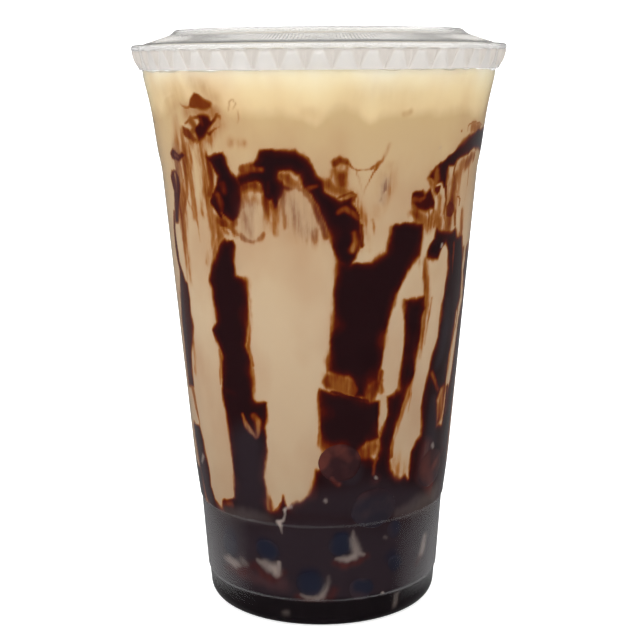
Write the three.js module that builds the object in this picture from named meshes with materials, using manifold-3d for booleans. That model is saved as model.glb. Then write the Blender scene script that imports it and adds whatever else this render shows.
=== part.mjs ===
// A lidded clear plastic cup of milk tea with tapioca pearls.
// Millimetres, +Z up, origin on the table under the middle of the cup, front towards -Y.
import * as THREE from "three";
import { mergeVertices } from "three/addons/utils/BufferGeometryUtils.js";
import Module from "manifold-3d";

// Sizes that everything shares
const WALL = 0.8;
const GAP = 0.35;
const SHELL_SEGMENTS = 64;
const FILLING_SEGMENTS = 48;

// Foot of the cup: a flat ring round a raised middle, with a rounded heel
const FOOT_RADIUS = 29.2;
const FOOT_WIDTH = 3.6;
const FOOT_RECESS = 2.0;
const RECESS_SLOPE = 1.0;
const HEEL_RADIUS = 32.1;
const HEEL_HEIGHT = 3.8;
const HEEL_STEPS = 4;

// Wall of the cup: two small stacking steps low down, a straight taper, and a wider band on top
const LOWER_STEP_HEIGHT = 8.1;
const LOWER_STEP_RADIUS = 32.45;
const UPPER_STEP_HEIGHT = 29.4;
const UPPER_STEP_RADIUS = 34.3;
const STEP_OUT = 0.4;
const STEP_HALF = 0.35;
const BODY_HEIGHT = 39.5;
const BODY_RADIUS = 35.95;
const BAND_HEIGHT = 121.6;
const BAND_RADIUS = 43.1;
const BAND_STEP_OUT = 0.95;
const BAND_STEP_RISE = 4.5;
const CREASE_HEIGHT = 137.3;
const CREASE_RADIUS = 45.5;
const NECK_HEIGHT = 146.5;
const NECK_RADIUS = 47.6;

// Rolled rim of the cup, hidden under the lid
const CUP_HEIGHT = 153.0;
const RIM_RADIUS = 48.6;
const RIM_ROLL = 0.9;
const RIM_STEPS = 5;

// Lid: a skirt with tapered ribs, a bead, a sloping shoulder and a flat raised top
const TOTAL_HEIGHT = 158.0;
const LID_WALL = 0.6;
const SKIRT_BOTTOM = 147.6;
const SKIRT_BOTTOM_RADIUS = 48.45;
const SKIRT_TOP = 152.0;
const SKIRT_TOP_RADIUS = 49.6;
const BEAD_RADIUS = 50.4;
const BEAD_HEIGHT = 153.1;
const BEAD_TOP = 154.1;
const SHOULDER_FOOT_RADIUS = 47.2;
const SHOULDER_TOP_RADIUS = 40.4;
const SHOULDER_TOP = 156.5;
const PLATEAU_RADIUS = 38.4;
const PLATEAU_LIP = 3.4;
const PLATEAU_DIP = 0.4;
const RIB_COUNT = 48;
const RIB_WIDTH = 4.6;
const RIB_FOOT = 148.3;
const CROSS_LENGTH = 17;
const CROSS_WIDTH = 1.4;
const CROSS_RISE = 0.3;

// Filling: pearls at the bottom, milk tea over them, a paler cream layer on top
const PEARL_RADIUS = 6.4;
const PEARL_SPREAD = 0.5;
const PEARL_SPACING = 0.9;
const PEARL_TRIES = 900;
const PEARL_CLEARANCE = 0.7;
const CORE_INSET = 3.5;
const HEAP_LEVEL = 31;
const HEAP_REACH = 26;
const HEAP_RINGS = [0, 9, 18, 27];
const CREAM_RINGS = [0, 10, 20, 30, 37, 42];
const CREAM_BOTTOM = 137.4;
const CREAM_TOP = 146.4;
const CREAM_WAVE = 1.1;

// Where the heap of pearls climbs against the wall: angle from the front in degrees, rise in mm
const HEAP_MOUNDS = [
  { angle: 28, rise: 11, width: 32 },
  { angle: 5, rise: 16, width: 15 },
  { angle: 52, rise: 9, width: 15 },
  { angle: 100, rise: 12, width: 28 },
  { angle: 158, rise: 15, width: 24 },
  { angle: -140, rise: 9, width: 26 },
  { angle: -82, rise: 8, width: 20 },
];

// Pearls that show at the front: angle from the front in degrees, height of the middle in mm
const FRONT_PEARLS = [
  { angle: 5, height: 46 },
  { angle: 23, height: 34 },
  { angle: 50, height: 40 },
  { angle: 37, height: 24 },
  { angle: 8, height: 24 },
  { angle: -8, height: 12 },
  { angle: 18, height: 11 },
  { angle: -27, height: 21 },
  { angle: -49, height: 20 },
];

// Lumps on the cream: place and rise in mm
const CREAM_LUMPS = [
  { x: -2, y: -40, rise: 3.0, width: 9 },
  { x: 18, y: 20, rise: 1.6, width: 14 },
  { x: -22, y: 14, rise: 1.2, width: 11 },
  { x: 4, y: -8, rise: 1.4, width: 12 },
];

const wasm = await Module();
wasm.setup();

// Points of a profile are [radius, height]. A profile that is turned starts and ends on the axis,
// or closes on itself.
function arc(centre, radius, fromDegrees, toDegrees, steps) {
  const points = [];
  for (let i = 0; i <= steps; i += 1) {
    const turn = THREE.MathUtils.degToRad(fromDegrees + ((toDegrees - fromDegrees) * i) / steps);
    points.push([centre[0] + radius * Math.cos(turn), centre[1] + radius * Math.sin(turn)]);
  }
  return points;
}

function stepAt(radius, height) {
  return [
    [radius, height - STEP_HALF],
    [radius + STEP_OUT, height + STEP_HALF],
  ];
}

// The outer wall from the heel to just under the rolled rim
const WALL_LINE = [
  [HEEL_RADIUS, HEEL_HEIGHT],
  ...stepAt(LOWER_STEP_RADIUS, LOWER_STEP_HEIGHT),
  ...stepAt(UPPER_STEP_RADIUS, UPPER_STEP_HEIGHT),
  [BODY_RADIUS, BODY_HEIGHT],
  [BAND_RADIUS, BAND_HEIGHT],
  [BAND_RADIUS + BAND_STEP_OUT, BAND_HEIGHT + BAND_STEP_RISE],
  [CREASE_RADIUS, CREASE_HEIGHT],
  [NECK_RADIUS, NECK_HEIGHT],
  [NECK_RADIUS + 0.1, CUP_HEIGHT - 2 * RIM_ROLL],
];

function wallRadius(height) {
  const last = WALL_LINE.length - 1;
  if (height <= WALL_LINE[0][1]) return WALL_LINE[0][0];
  if (height >= WALL_LINE[last][1]) return WALL_LINE[last][0];
  const above = WALL_LINE.findIndex((point) => point[1] > height);
  const [lowRadius, low] = WALL_LINE[above - 1];
  const [highRadius, high] = WALL_LINE[above];
  return THREE.MathUtils.mapLinear(height, low, high, lowRadius, highRadius);
}

// Radius of the filling at a height, clear of the inside of the wall
function fillingRadius(height) {
  return wallRadius(height) - WALL - GAP;
}

function onlyPositions(geometry) {
  geometry.deleteAttribute("normal");
  geometry.deleteAttribute("uv");
  const merged = mergeVertices(geometry, 1e-3);
  const corners = merged.index.array;
  const kept = [];
  for (let i = 0; i < corners.length; i += 3) {
    const [a, b, c] = [corners[i], corners[i + 1], corners[i + 2]];
    if (a !== b && b !== c && a !== c) kept.push(a, b, c);
  }
  merged.setIndex(kept);
  return merged;
}

function toManifold(geometry) {
  return new wasm.Manifold(new wasm.Mesh({
    numProp: 3,
    vertProperties: new Float32Array(geometry.attributes.position.array),
    triVerts: new Uint32Array(geometry.index.array),
  }));
}

function fromManifold(solid) {
  const mesh = solid.getMesh();
  const geometry = new THREE.BufferGeometry();
  geometry.setAttribute("position", new THREE.BufferAttribute(mesh.vertProperties, 3));
  geometry.setIndex(new THREE.BufferAttribute(mesh.triVerts, 1));
  return geometry;
}

// Turns a profile about the vertical axis. It runs up the outside and down the inside.
function turned(profile, segments) {
  const points = profile.map(([radius, height]) => new THREE.Vector2(radius, height));
  const geometry = onlyPositions(new THREE.LatheGeometry(points, segments));
  geometry.rotateX(Math.PI / 2);
  return geometry;
}

// Angle of a place round the cup, in degrees from the front towards +X
function angleFromFront(x, y) {
  return THREE.MathUtils.radToDeg(Math.atan2(x, -y));
}

function bell(distance, width) {
  return Math.exp(-((distance / width) ** 2));
}

// Rise of the heap at the wall, at an angle in degrees
function heapRise(angle) {
  let rise = 0;
  for (const mound of HEAP_MOUNDS) {
    const apart = THREE.MathUtils.euclideanModulo(angle - mound.angle + 180, 360) - 180;
    rise += mound.rise * bell((apart / mound.width) ** 2, 1);
  }
  return rise;
}

// Height of the heap's top, which is uneven at the wall and level towards the middle.
// Between the sides of the filling it runs straight, as their edges do.
function heapTop(x, y) {
  const sideAngle = 360 / FILLING_SEGMENTS;
  const side = angleFromFront(x, y) / sideAngle;
  const low = Math.floor(side);
  const rise = THREE.MathUtils.lerp(heapRise(low * sideAngle), heapRise((low + 1) * sideAngle), side - low);
  return HEAP_LEVEL + rise * Math.min(1, Math.hypot(x, y) / BODY_RADIUS);
}

function creamSurface(x, y) {
  let top = CREAM_TOP;
  for (const lump of CREAM_LUMPS) {
    top += lump.rise * bell(Math.hypot(x - lump.x, y - lump.y), lump.width);
  }
  return top;
}

function creamUnderside(x, y) {
  return CREAM_BOTTOM + CREAM_WAVE * Math.sin(x / 9 + 1) * Math.cos(y / 11);
}

// Moves the level faces of a filling to their uneven heights, with their edges kept along the wall
function shapeLevels(geometry, levels) {
  const position = geometry.attributes.position;
  for (let i = 0; i < position.count; i += 1) {
    const x = position.getX(i);
    const y = position.getY(i);
    const z = position.getZ(i);
    const level = levels.find((entry) => Math.abs(entry.height - z) < 0.01);
    if (level) {
      const atEdge = Math.hypot(x, y) > level.radius(z) - 0.1;
      const nominal = level.surface(x, y) + level.shift;
      const spread = atEdge ? level.radius(nominal) / level.radius(z) : 1;
      const raised = level.surface(x * spread, y * spread) + level.shift;
      position.setXYZ(i, x * spread, y * spread, raised);
    }
  }
  return geometry;
}

function levelFace(height, rings) {
  return rings.map((radius) => [radius, height]);
}

// A filling between two levels: out along its underside, up the wall and back along its top
function fillingProfile(bottom, bottomRings, top, topRings) {
  const between = WALL_LINE.filter((point) => point[1] > bottom + HEAP_REACH && point[1] < top - 2);
  return [
    ...levelFace(bottom, bottomRings),
    [fillingRadius(bottom), bottom],
    ...between.map(([radius, height]) => [radius - WALL - GAP, height]),
    [fillingRadius(top), top],
    ...levelFace(top, topRings).reverse(),
  ];
}

function makeCup() {
  const recessRadius = FOOT_RADIUS - FOOT_WIDTH;
  const heel = [];
  for (let i = 0; i < HEEL_STEPS; i += 1) {
    const turn = ((Math.PI / 2) * i) / HEEL_STEPS;
    heel.push([
      FOOT_RADIUS + (HEEL_RADIUS - FOOT_RADIUS) * Math.sin(turn),
      HEEL_HEIGHT * (1 - Math.cos(turn)),
    ]);
  }
  const roll = arc([RIM_RADIUS - RIM_ROLL, CUP_HEIGHT - RIM_ROLL], RIM_ROLL, -45, 180, RIM_STEPS);
  const inside = WALL_LINE.slice(0, -1).reverse();
  return turned([
    [0, FOOT_RECESS],
    [recessRadius - RECESS_SLOPE, FOOT_RECESS],
    [recessRadius, 0],
    ...heel,
    ...WALL_LINE,
    ...roll,
    ...inside.map(([radius, height]) => [radius - WALL, height]),
    [FOOT_RADIUS, WALL],
    [recessRadius + WALL, WALL],
    [recessRadius, FOOT_RECESS + WALL],
    [0, FOOT_RECESS + WALL],
  ], SHELL_SEGMENTS);
}

function lidShell() {
  const dipRadius = PLATEAU_RADIUS - PLATEAU_LIP;
  const outside = [
    [SKIRT_BOTTOM_RADIUS, SKIRT_BOTTOM],
    [SKIRT_TOP_RADIUS, SKIRT_TOP],
    [BEAD_RADIUS - 0.1, SKIRT_TOP + 0.5],
    [BEAD_RADIUS, BEAD_HEIGHT],
    [BEAD_RADIUS - 0.4, BEAD_TOP - 0.3],
    [BEAD_RADIUS - 1.2, BEAD_TOP],
    [SHOULDER_FOOT_RADIUS, BEAD_TOP + 0.1],
    [SHOULDER_TOP_RADIUS, SHOULDER_TOP],
    [PLATEAU_RADIUS + 0.9, TOTAL_HEIGHT - 0.7],
    [PLATEAU_RADIUS, TOTAL_HEIGHT],
    [dipRadius, TOTAL_HEIGHT],
    [dipRadius - 0.4, TOTAL_HEIGHT - PLATEAU_DIP],
    [0, TOTAL_HEIGHT - PLATEAU_DIP],
  ];
  const inside = [
    [0, TOTAL_HEIGHT - PLATEAU_DIP - LID_WALL],
    [PLATEAU_RADIUS - 0.2, TOTAL_HEIGHT - PLATEAU_DIP - LID_WALL],
    [SHOULDER_TOP_RADIUS - 0.2, SHOULDER_TOP - LID_WALL],
    [SHOULDER_FOOT_RADIUS - 0.2, BEAD_TOP + 0.1 - LID_WALL],
    [BEAD_RADIUS - 1.4, BEAD_TOP - LID_WALL],
    [SKIRT_TOP_RADIUS - 0.3, SKIRT_TOP + 0.6],
    [SKIRT_TOP_RADIUS - LID_WALL, SKIRT_TOP],
    [SKIRT_BOTTOM_RADIUS - LID_WALL + 0.1, SKIRT_BOTTOM],
    [SKIRT_BOTTOM_RADIUS, SKIRT_BOTTOM],
  ];
  return toManifold(turned([...outside, ...inside], SHELL_SEGMENTS));
}

// A rib is a three-sided wedge, broad under the bead and pointed at the skirt's foot
function lidRib(turn) {
  const top = SKIRT_TOP + 0.9;
  const inner = SKIRT_TOP_RADIUS - 0.3;
  const corners = [
    [inner, -RIB_WIDTH / 2, top],
    [inner, RIB_WIDTH / 2, top],
    [BEAD_RADIUS - 0.15, 0, top],
    [SKIRT_BOTTOM_RADIUS - 0.05, 0, RIB_FOOT],
  ];
  const geometry = new THREE.BufferGeometry();
  geometry.setFromPoints(corners.map((corner) => new THREE.Vector3(...corner)));
  geometry.setIndex([0, 2, 1, 0, 1, 3, 1, 2, 3, 2, 0, 3]);
  geometry.rotateZ(turn);
  return toManifold(geometry);
}

// The raised cross where a straw goes in
function strawCross() {
  const height = LID_WALL / 2 + CROSS_RISE;
  const floor = TOTAL_HEIGHT - PLATEAU_DIP - LID_WALL / 2;
  const bar = new THREE.BoxGeometry(CROSS_LENGTH, CROSS_WIDTH, height);
  bar.translate(0, 0, floor + height / 2);
  const crossing = bar.clone().rotateZ(Math.PI / 2);
  return toManifold(onlyPositions(bar)).add(toManifold(onlyPositions(crossing)));
}

function makeLid() {
  const pieces = [lidShell(), strawCross()];
  for (let i = 0; i < RIB_COUNT; i += 1) pieces.push(lidRib((2 * Math.PI * (i + 0.5)) / RIB_COUNT));
  return fromManifold(wasm.Manifold.union(pieces));
}

function seededRandom(seed) {
  let state = seed;
  return () => {
    state = (state * 1664525 + 1013904223) % 4294967296;
    return state / 4294967296;
  };
}

// The plain core that the pearls at the wall are fused on
function heapCore() {
  const floor = FOOT_RECESS + WALL + GAP;
  const coreRadius = (height) => fillingRadius(height) - CORE_INSET;
  const side = WALL_LINE.filter((point) => point[1] > HEEL_HEIGHT && point[1] < HEAP_LEVEL - 4);
  const profile = [
    [0, floor],
    [FOOT_RADIUS - FOOT_WIDTH - 1, floor],
    [coreRadius(HEEL_HEIGHT), HEEL_HEIGHT + 2],
    ...side.map((point) => [coreRadius(point[1]), point[1]]),
    [coreRadius(HEAP_LEVEL), HEAP_LEVEL],
    ...levelFace(HEAP_LEVEL, HEAP_RINGS).reverse(),
  ];
  const level = { height: HEAP_LEVEL, surface: heapTop, shift: 0, radius: coreRadius };
  return toManifold(shapeLevels(turned(profile, FILLING_SEGMENTS), [level]));
}

// Distance from the axis to the middle of a pearl that touches the wall's clearance
function pearlOut(radius, height) {
  return fillingRadius(height - radius * 0.3) - radius;
}

function pearlCentre({ radius, angle, height }) {
  const out = pearlOut(radius, height);
  return new THREE.Vector3(out * Math.sin(angle), -out * Math.cos(angle), height);
}

function pearlSolid(place) {
  const geometry = onlyPositions(new THREE.IcosahedronGeometry(place.radius, 1));
  geometry.rotateX(place.angle * 7);
  geometry.translate(...pearlCentre(place));
  return toManifold(geometry);
}

// Greatest height of a pearl's middle that keeps all of it under the heap's top
function highestUnderTop(radius, angle) {
  const centre = pearlCentre({ radius, angle, height: HEAP_LEVEL });
  let highest = heapTop(centre.x, centre.y) - radius;
  for (const share of [0.3, 0.6, 0.85, 0.98]) {
    for (let turn = 0; turn < 2 * Math.PI; turn += Math.PI / 8) {
      const x = centre.x + share * radius * Math.cos(turn);
      const y = centre.y + share * radius * Math.sin(turn);
      highest = Math.min(highest, heapTop(x, y) - radius * Math.sqrt(1 - share ** 2));
    }
  }
  return highest - PEARL_CLEARANCE;
}

// The pearls at the wall: those that show first, then others wherever there is room left
function pearlPlaces() {
  const random = seededRandom(24);
  const lowest = FOOT_RECESS + WALL + GAP + PEARL_RADIUS;
  const places = [];
  const addIfFree = (angle, height) => {
    const radius = PEARL_RADIUS + PEARL_SPREAD * (random() - 0.5);
    const place = { radius, angle, height: Math.min(height, highestUnderTop(radius, angle)) };
    const centre = pearlCentre(place);
    const free = places.every((other) => (
      centre.distanceTo(pearlCentre(other)) > PEARL_SPACING * (radius + other.radius)
    ));
    if (free) places.push(place);
  };
  for (const { angle, height } of FRONT_PEARLS) addIfFree(THREE.MathUtils.degToRad(angle), height);
  for (let i = 0; i < PEARL_TRIES; i += 1) {
    const angle = 2 * Math.PI * random();
    addIfFree(angle, lowest + HEAP_LEVEL * random());
  }
  return places;
}

function makePearls() {
  const pieces = [heapCore(), ...pearlPlaces().map(pearlSolid)];
  return fromManifold(wasm.Manifold.union(pieces));
}

function makeMilkTea() {
  const levels = [
    { height: HEAP_LEVEL, surface: heapTop, shift: GAP, radius: fillingRadius },
    { height: CREAM_BOTTOM, surface: creamUnderside, shift: -GAP, radius: fillingRadius },
  ];
  const profile = fillingProfile(HEAP_LEVEL, HEAP_RINGS, CREAM_BOTTOM, HEAP_RINGS);
  return shapeLevels(turned(profile, FILLING_SEGMENTS), levels);
}

function makeCream() {
  const levels = [
    { height: CREAM_BOTTOM, surface: creamUnderside, shift: 0, radius: fillingRadius },
    { height: CREAM_TOP, surface: creamSurface, shift: 0, radius: fillingRadius },
  ];
  const profile = fillingProfile(CREAM_BOTTOM, HEAP_RINGS, CREAM_TOP, CREAM_RINGS);
  return shapeLevels(turned(profile, FILLING_SEGMENTS), levels);
}

function piece(name, geometry, color, roughness, opacity) {
  const clear = opacity < 1;
  const material = new THREE.MeshStandardMaterial({ color, roughness, metalness: 0 });
  material.transparent = clear;
  material.opacity = opacity;
  const mesh = new THREE.Mesh(geometry, material);
  mesh.name = name;
  return mesh;
}

const bubbleTea = new THREE.Group();
bubbleTea.add(
  piece("cup", makeCup(), 0xeef2f2, 0.08, 0.3),
  piece("lid", makeLid(), 0xe6e8e6, 0.15, 0.35),
  piece("milk_tea", makeMilkTea(), 0xbc9d78, 0.5, 1),
  piece("cream_top", makeCream(), 0xf0dcb5, 0.55, 1),
  piece("pearls", makePearls(), 0x2a2026, 0.3, 1),
);

export default bubbleTea;
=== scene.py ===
import math

import bpy
import numpy as np
from mathutils import Matrix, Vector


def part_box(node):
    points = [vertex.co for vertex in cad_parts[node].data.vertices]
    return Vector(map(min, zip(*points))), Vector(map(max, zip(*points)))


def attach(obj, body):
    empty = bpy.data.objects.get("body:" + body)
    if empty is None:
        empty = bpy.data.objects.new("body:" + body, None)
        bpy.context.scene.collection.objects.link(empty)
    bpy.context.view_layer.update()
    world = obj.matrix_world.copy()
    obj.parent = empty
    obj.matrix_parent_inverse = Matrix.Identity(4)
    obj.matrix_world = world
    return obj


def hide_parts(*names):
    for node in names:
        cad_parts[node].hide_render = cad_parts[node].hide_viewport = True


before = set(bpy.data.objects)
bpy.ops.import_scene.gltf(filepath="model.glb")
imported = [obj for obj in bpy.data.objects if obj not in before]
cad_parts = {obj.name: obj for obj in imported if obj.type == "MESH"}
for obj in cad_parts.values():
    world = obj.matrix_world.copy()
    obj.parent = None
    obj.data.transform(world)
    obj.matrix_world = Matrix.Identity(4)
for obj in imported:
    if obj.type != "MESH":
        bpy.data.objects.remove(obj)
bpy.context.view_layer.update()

MM = 0.001

# Sizes in millimetres. The front of the cup faces -Y.
WALL = 0.8
FILL_INSET = 0.45
CUP_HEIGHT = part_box("cup")[1][2] / MM
LID_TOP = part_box("lid")[1][2] / MM
LID_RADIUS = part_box("lid")[1][0] / MM
FOOT_RADIUS = 29.2
FOOT_INNER = 25.6
FOOT_RECESS = 2.0
HEEL_RADIUS = 32.1
HEEL_HEIGHT = 3.8
RIM_ROLL = 0.9
RIM_RADIUS = 48.6

# The outer wall: radius, height and how round each corner is
WALL_CORNERS = [
    (HEEL_RADIUS, HEEL_HEIGHT, 2.0),
    (32.45, 7.75, 0.5),
    (32.85, 8.45, 0.6),
    (34.3, 29.05, 0.6),
    (34.7, 29.75, 0.6),
    (35.95, 39.5, 9.0),
    (43.1, 121.6, 3.0),
    (44.05, 126.1, 3.0),
    (45.5, 137.3, 9.0),
    (47.6, 146.5, 6.0),
    (47.7, 151.2, 1.0),
]

# Filling, as the solids have it. A mound of the heap: angle, rise and width in degrees. A lump of the
# cream: x, y, rise and width.
HEAP_LEVEL = 31
BODY_RADIUS = 35.95
HEAP_MOUNDS = [
    (28, 11, 32), (5, 16, 15), (52, 9, 15), (100, 12, 28), (158, 15, 24), (-140, 9, 26), (-82, 8, 20),
]
CREAM_BOTTOM = 137.4
CREAM_TOP = 146.4
CREAM_LUMPS = [(-2, -40, 3.0, 9), (18, 20, 1.6, 14), (-22, 14, 1.2, 11), (4, -8, 1.4, 12)]
PEARL_RADIUS = 6.5
MILK_RADIUS = 40.0
CREAM_RADIUS = 46.0
BOUNDARY_WAVE = 1.1
BOUNDARY_LENGTH = 9

# The photograph's camera, fitted to the cup
EYE_BACK = 370.7
EYE_HEIGHT = 149.5
EYE_PITCH = math.radians(10.89)
EYE_ROLL = math.radians(-0.38)
FOCAL_PIXELS = 1343
FRAME_PIXELS = 640
CENTRE_PIXELS = 320.6
RAY_NEAR = 60
RAY_STEPS = 900


def srgb(red, green, blue):
    """A colour read off the photograph, 0 to 255, as linear values with alpha."""
    def linear(value):
        part = value / 255
        return part / 12.92 if part <= 0.04045 else ((part + 0.055) / 1.055) ** 2.4
    return (linear(red), linear(green), linear(blue), 1.0)


# Shapes of the profile

def rounded(corners, steps=5):
    """A line through the corners with each one rounded by an arc-like curve of its own size."""
    points = [corners[0][:2]]
    for before, here, after in zip(corners, corners[1:], corners[2:]):
        a, b, c = (np.array(corner[:2], float) for corner in (before, here, after))
        to_a, to_c = a - b, c - b
        reach = min(here[2], 0.45 * np.hypot(*to_a), 0.45 * np.hypot(*to_c))
        start = b + to_a / np.hypot(*to_a) * reach
        end = b + to_c / np.hypot(*to_c) * reach
        for t in np.linspace(0, 1, steps):
            points.append(tuple((1 - t) ** 2 * start + 2 * t * (1 - t) * b + t ** 2 * end))
    points.append(corners[-1][:2])
    return points


WALL_LINE = rounded(WALL_CORNERS)
WALL_RADII = np.array([point[0] for point in WALL_LINE])
WALL_HEIGHTS = np.array([point[1] for point in WALL_LINE])


def wall_radius(height):
    return np.interp(height, WALL_HEIGHTS, WALL_RADII)


def filling_radius(height):
    return wall_radius(height) - FILL_INSET


def bell(distance, width):
    """A smooth hump, 1 in the middle."""
    return np.exp(-(distance / width) ** 2)


def apart(angle, other):
    """Signed turn between two angles in degrees, from -180 to 180."""
    return (angle - other + 180) % 360 - 180


def heap_rise(angle):
    """How far the heap's edge stands above its level, as flat-topped mounds."""
    return sum(rise * bell((apart(angle, middle) / width) ** 2, 1) for middle, rise, width in HEAP_MOUNDS)


def heap_top(angle, radius):
    return HEAP_LEVEL + heap_rise(angle) * np.minimum(1, radius / BODY_RADIUS)


def boundary(angle, radius):
    """Height where the milk ends and the cream begins."""
    return CREAM_BOTTOM + BOUNDARY_WAVE * np.sin(radius * np.sin(np.radians(angle)) / BOUNDARY_LENGTH + 1)


def cream_surface(x, y):
    lumps = (rise * bell(np.hypot(x - px, y - py), width) for px, py, rise, width in CREAM_LUMPS)
    return CREAM_TOP + sum(lumps)


# From a pixel of the photograph to the wall

def on_wall(x, y):
    """(angle from the front in degrees, height in mm) of the wall under a pixel. Past the cup's
    outline it is the nearest place on the outline."""
    across, down = x - CENTRE_PIXELS, y - FRAME_PIXELS / 2
    right = math.cos(EYE_ROLL) * across + math.sin(EYE_ROLL) * down
    lower = math.cos(EYE_ROLL) * down - math.sin(EYE_ROLL) * across
    forward = np.array([0, math.cos(EYE_PITCH), -math.sin(EYE_PITCH)])
    upward = np.array([0, math.sin(EYE_PITCH), math.cos(EYE_PITCH)])
    ray = forward + np.array([right, 0, 0]) / FOCAL_PIXELS - upward * lower / FOCAL_PIXELS
    steps = np.linspace(EYE_BACK - RAY_NEAR, EYE_BACK, RAY_STEPS)[:, None]
    places = np.array([0, -EYE_BACK, EYE_HEIGHT]) + steps * ray
    outside = np.hypot(places[:, 0], places[:, 1]) - filling_radius(places[:, 2])
    inside = np.flatnonzero(outside <= 0)
    place = places[inside[0] if len(inside) else np.argmin(outside)]
    return math.degrees(math.atan2(place[0], -place[1])), place[2]


# Meshes

def make_object(name, vertices, faces):
    mesh = bpy.data.meshes.new(name)
    mesh.from_pydata((np.asarray(vertices, float) * MM).tolist(), [], faces)
    mesh.validate()
    mesh.update()
    mesh.polygons.foreach_set("use_smooth", [True] * len(mesh.polygons))
    piece = bpy.data.objects.new(name, mesh)
    bpy.context.scene.collection.objects.link(piece)
    return piece


def ring_angles(columns):
    return np.radians(np.arange(columns) * 360 / columns)


def grid_faces(rows, columns):
    """Quads between rows of columns, closed round the axis."""
    here = np.arange(columns)
    there = (here + 1) % columns
    faces = []
    for row in range(rows - 1):
        low, high = row * columns, (row + 1) * columns
        faces.extend(np.stack([low + here, low + there, high + there, high + here], 1).tolist())
    return faces


def turned(name, radii, heights, angles):
    """A surface of rows round the axis, with a fan at both ends. Radii and heights are rows by columns."""
    rows, columns = radii.shape
    x = radii * np.sin(angles)
    y = -radii * np.cos(angles)
    vertices = np.stack([x, y, heights], 2).reshape(-1, 3).tolist()
    faces = grid_faces(rows, columns)
    for row, flip in ((0, True), (rows - 1, False)):
        middle = len(vertices)
        vertices.append([0, 0, float(heights[row].mean())])
        for column in range(columns):
            a, b = row * columns + column, row * columns + (column + 1) % columns
            faces.append([b, a, middle] if flip else [a, b, middle])
    return make_object(name, vertices, faces)


def lathe(name, profile, columns):
    """A turned piece. The profile runs up the outside from the axis and back to the axis."""
    radii = np.array([[radius] * columns for radius, _ in profile])
    heights = np.array([[height] * columns for _, height in profile])
    return turned(name, radii, heights, ring_angles(columns))


def set_attribute(piece, name, values):
    layer = piece.data.attributes.new(name, "FLOAT", "POINT")
    layer.data.foreach_set("value", np.asarray(values, np.float32))


# Materials

SHADOW_TINT = (0.97, 0.97, 0.97, 1)
MILK_STAIN = (0.9, 0.82, 0.78, 1)
FLOOR_PALE = (0.9, 0.9, 0.9, 1)
FLOOR_SPECK = (0.86, 0.86, 0.86, 1)
FLOOR_GLOW = 0.61
PLASTIC_IOR = 1.45


class Nodes:
    """Adds nodes to a material and joins them, one call for each node."""

    def __init__(self, name):
        self.material = bpy.data.materials.new(name)
        self.material.use_nodes = True
        self.tree = self.material.node_tree
        self.tree.nodes.clear()
        self.output = self.tree.nodes.new("ShaderNodeOutputMaterial")

    def put(self, socket, value):
        if isinstance(value, bpy.types.NodeSocket):
            self.tree.links.new(value, socket)
        elif value is not None:
            socket.default_value = value

    def add(self, kind, result=0, **inputs):
        made = self.tree.nodes.new(kind)
        for name, value in inputs.items():
            self.put(made.inputs[name.replace("_", " ")], value)
        return made.outputs[result]

    def math(self, operation, a, b=None, clamp=False):
        made = self.tree.nodes.new("ShaderNodeMath")
        made.operation = operation
        made.use_clamp = clamp
        self.put(made.inputs[0], a)
        self.put(made.inputs[1], b)
        return made.outputs[0]

    def mix(self, factor, a, b, blend="MIX"):
        made = self.tree.nodes.new("ShaderNodeMix")
        made.data_type = "RGBA"
        made.blend_type = blend
        self.put(made.inputs[0], factor)
        colours = [socket for socket in made.inputs if socket.type == "RGBA"]
        self.put(colours[0], a)
        self.put(colours[1], b)
        return next(socket for socket in made.outputs if socket.type == "RGBA")

    def mix_shaders(self, factor, a, b):
        made = self.tree.nodes.new("ShaderNodeMixShader")
        for socket, value in zip(made.inputs, (factor, a, b)):
            self.put(socket, value)
        return made.outputs[0]

    def spread(self, value, low, high, new_low=0.0, new_high=1.0):
        made = self.tree.nodes.new("ShaderNodeMapRange")
        for socket, number in zip(made.inputs, (value, low, high, new_low, new_high)):
            self.put(socket, number)
        return made.outputs[0]

    def ramp(self, value, stops):
        made = self.tree.nodes.new("ShaderNodeValToRGB")
        colours = made.color_ramp.elements
        while len(colours) < len(stops):
            colours.new(0.5)
        for element, (place, colour) in zip(colours, stops):
            element.position = place
            element.color = colour
        self.put(made.inputs[0], value)
        return made.outputs[0]

    def attribute(self, name):
        made = self.tree.nodes.new("ShaderNodeAttribute")
        made.attribute_name = name
        return made.outputs["Fac"]

    def noise(self, scale, detail=3.0, stretch=(1, 1, 1)):
        """Noise about one millimetre across at scale 1."""
        place = self.tree.nodes.new("ShaderNodeMapping")
        place.inputs["Scale"].default_value = [scale * part / MM for part in stretch]
        coordinates = self.tree.nodes.new("ShaderNodeTexCoord")
        self.tree.links.new(coordinates.outputs["Object"], place.inputs["Vector"])
        made = self.tree.nodes.new("ShaderNodeTexNoise")
        made.inputs["Scale"].default_value = 1.0
        made.inputs["Detail"].default_value = detail
        self.tree.links.new(place.outputs[0], made.inputs["Vector"])
        return made.outputs[0]

    def height(self):
        coordinates = self.tree.nodes.new("ShaderNodeTexCoord")
        parts = self.tree.nodes.new("ShaderNodeSeparateXYZ")
        self.tree.links.new(coordinates.outputs["Object"], parts.inputs[0])
        return self.math("DIVIDE", parts.outputs["Z"], MM)

    def bump(self, height, strength, distance_mm):
        made = self.tree.nodes.new("ShaderNodeBump")
        made.inputs["Strength"].default_value = strength
        made.inputs["Distance"].default_value = distance_mm * MM
        self.put(made.inputs["Height"], height)
        return made.outputs[0]

    def finish(self, shader):
        self.tree.links.new(shader, self.output.inputs["Surface"])
        return self.material


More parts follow.
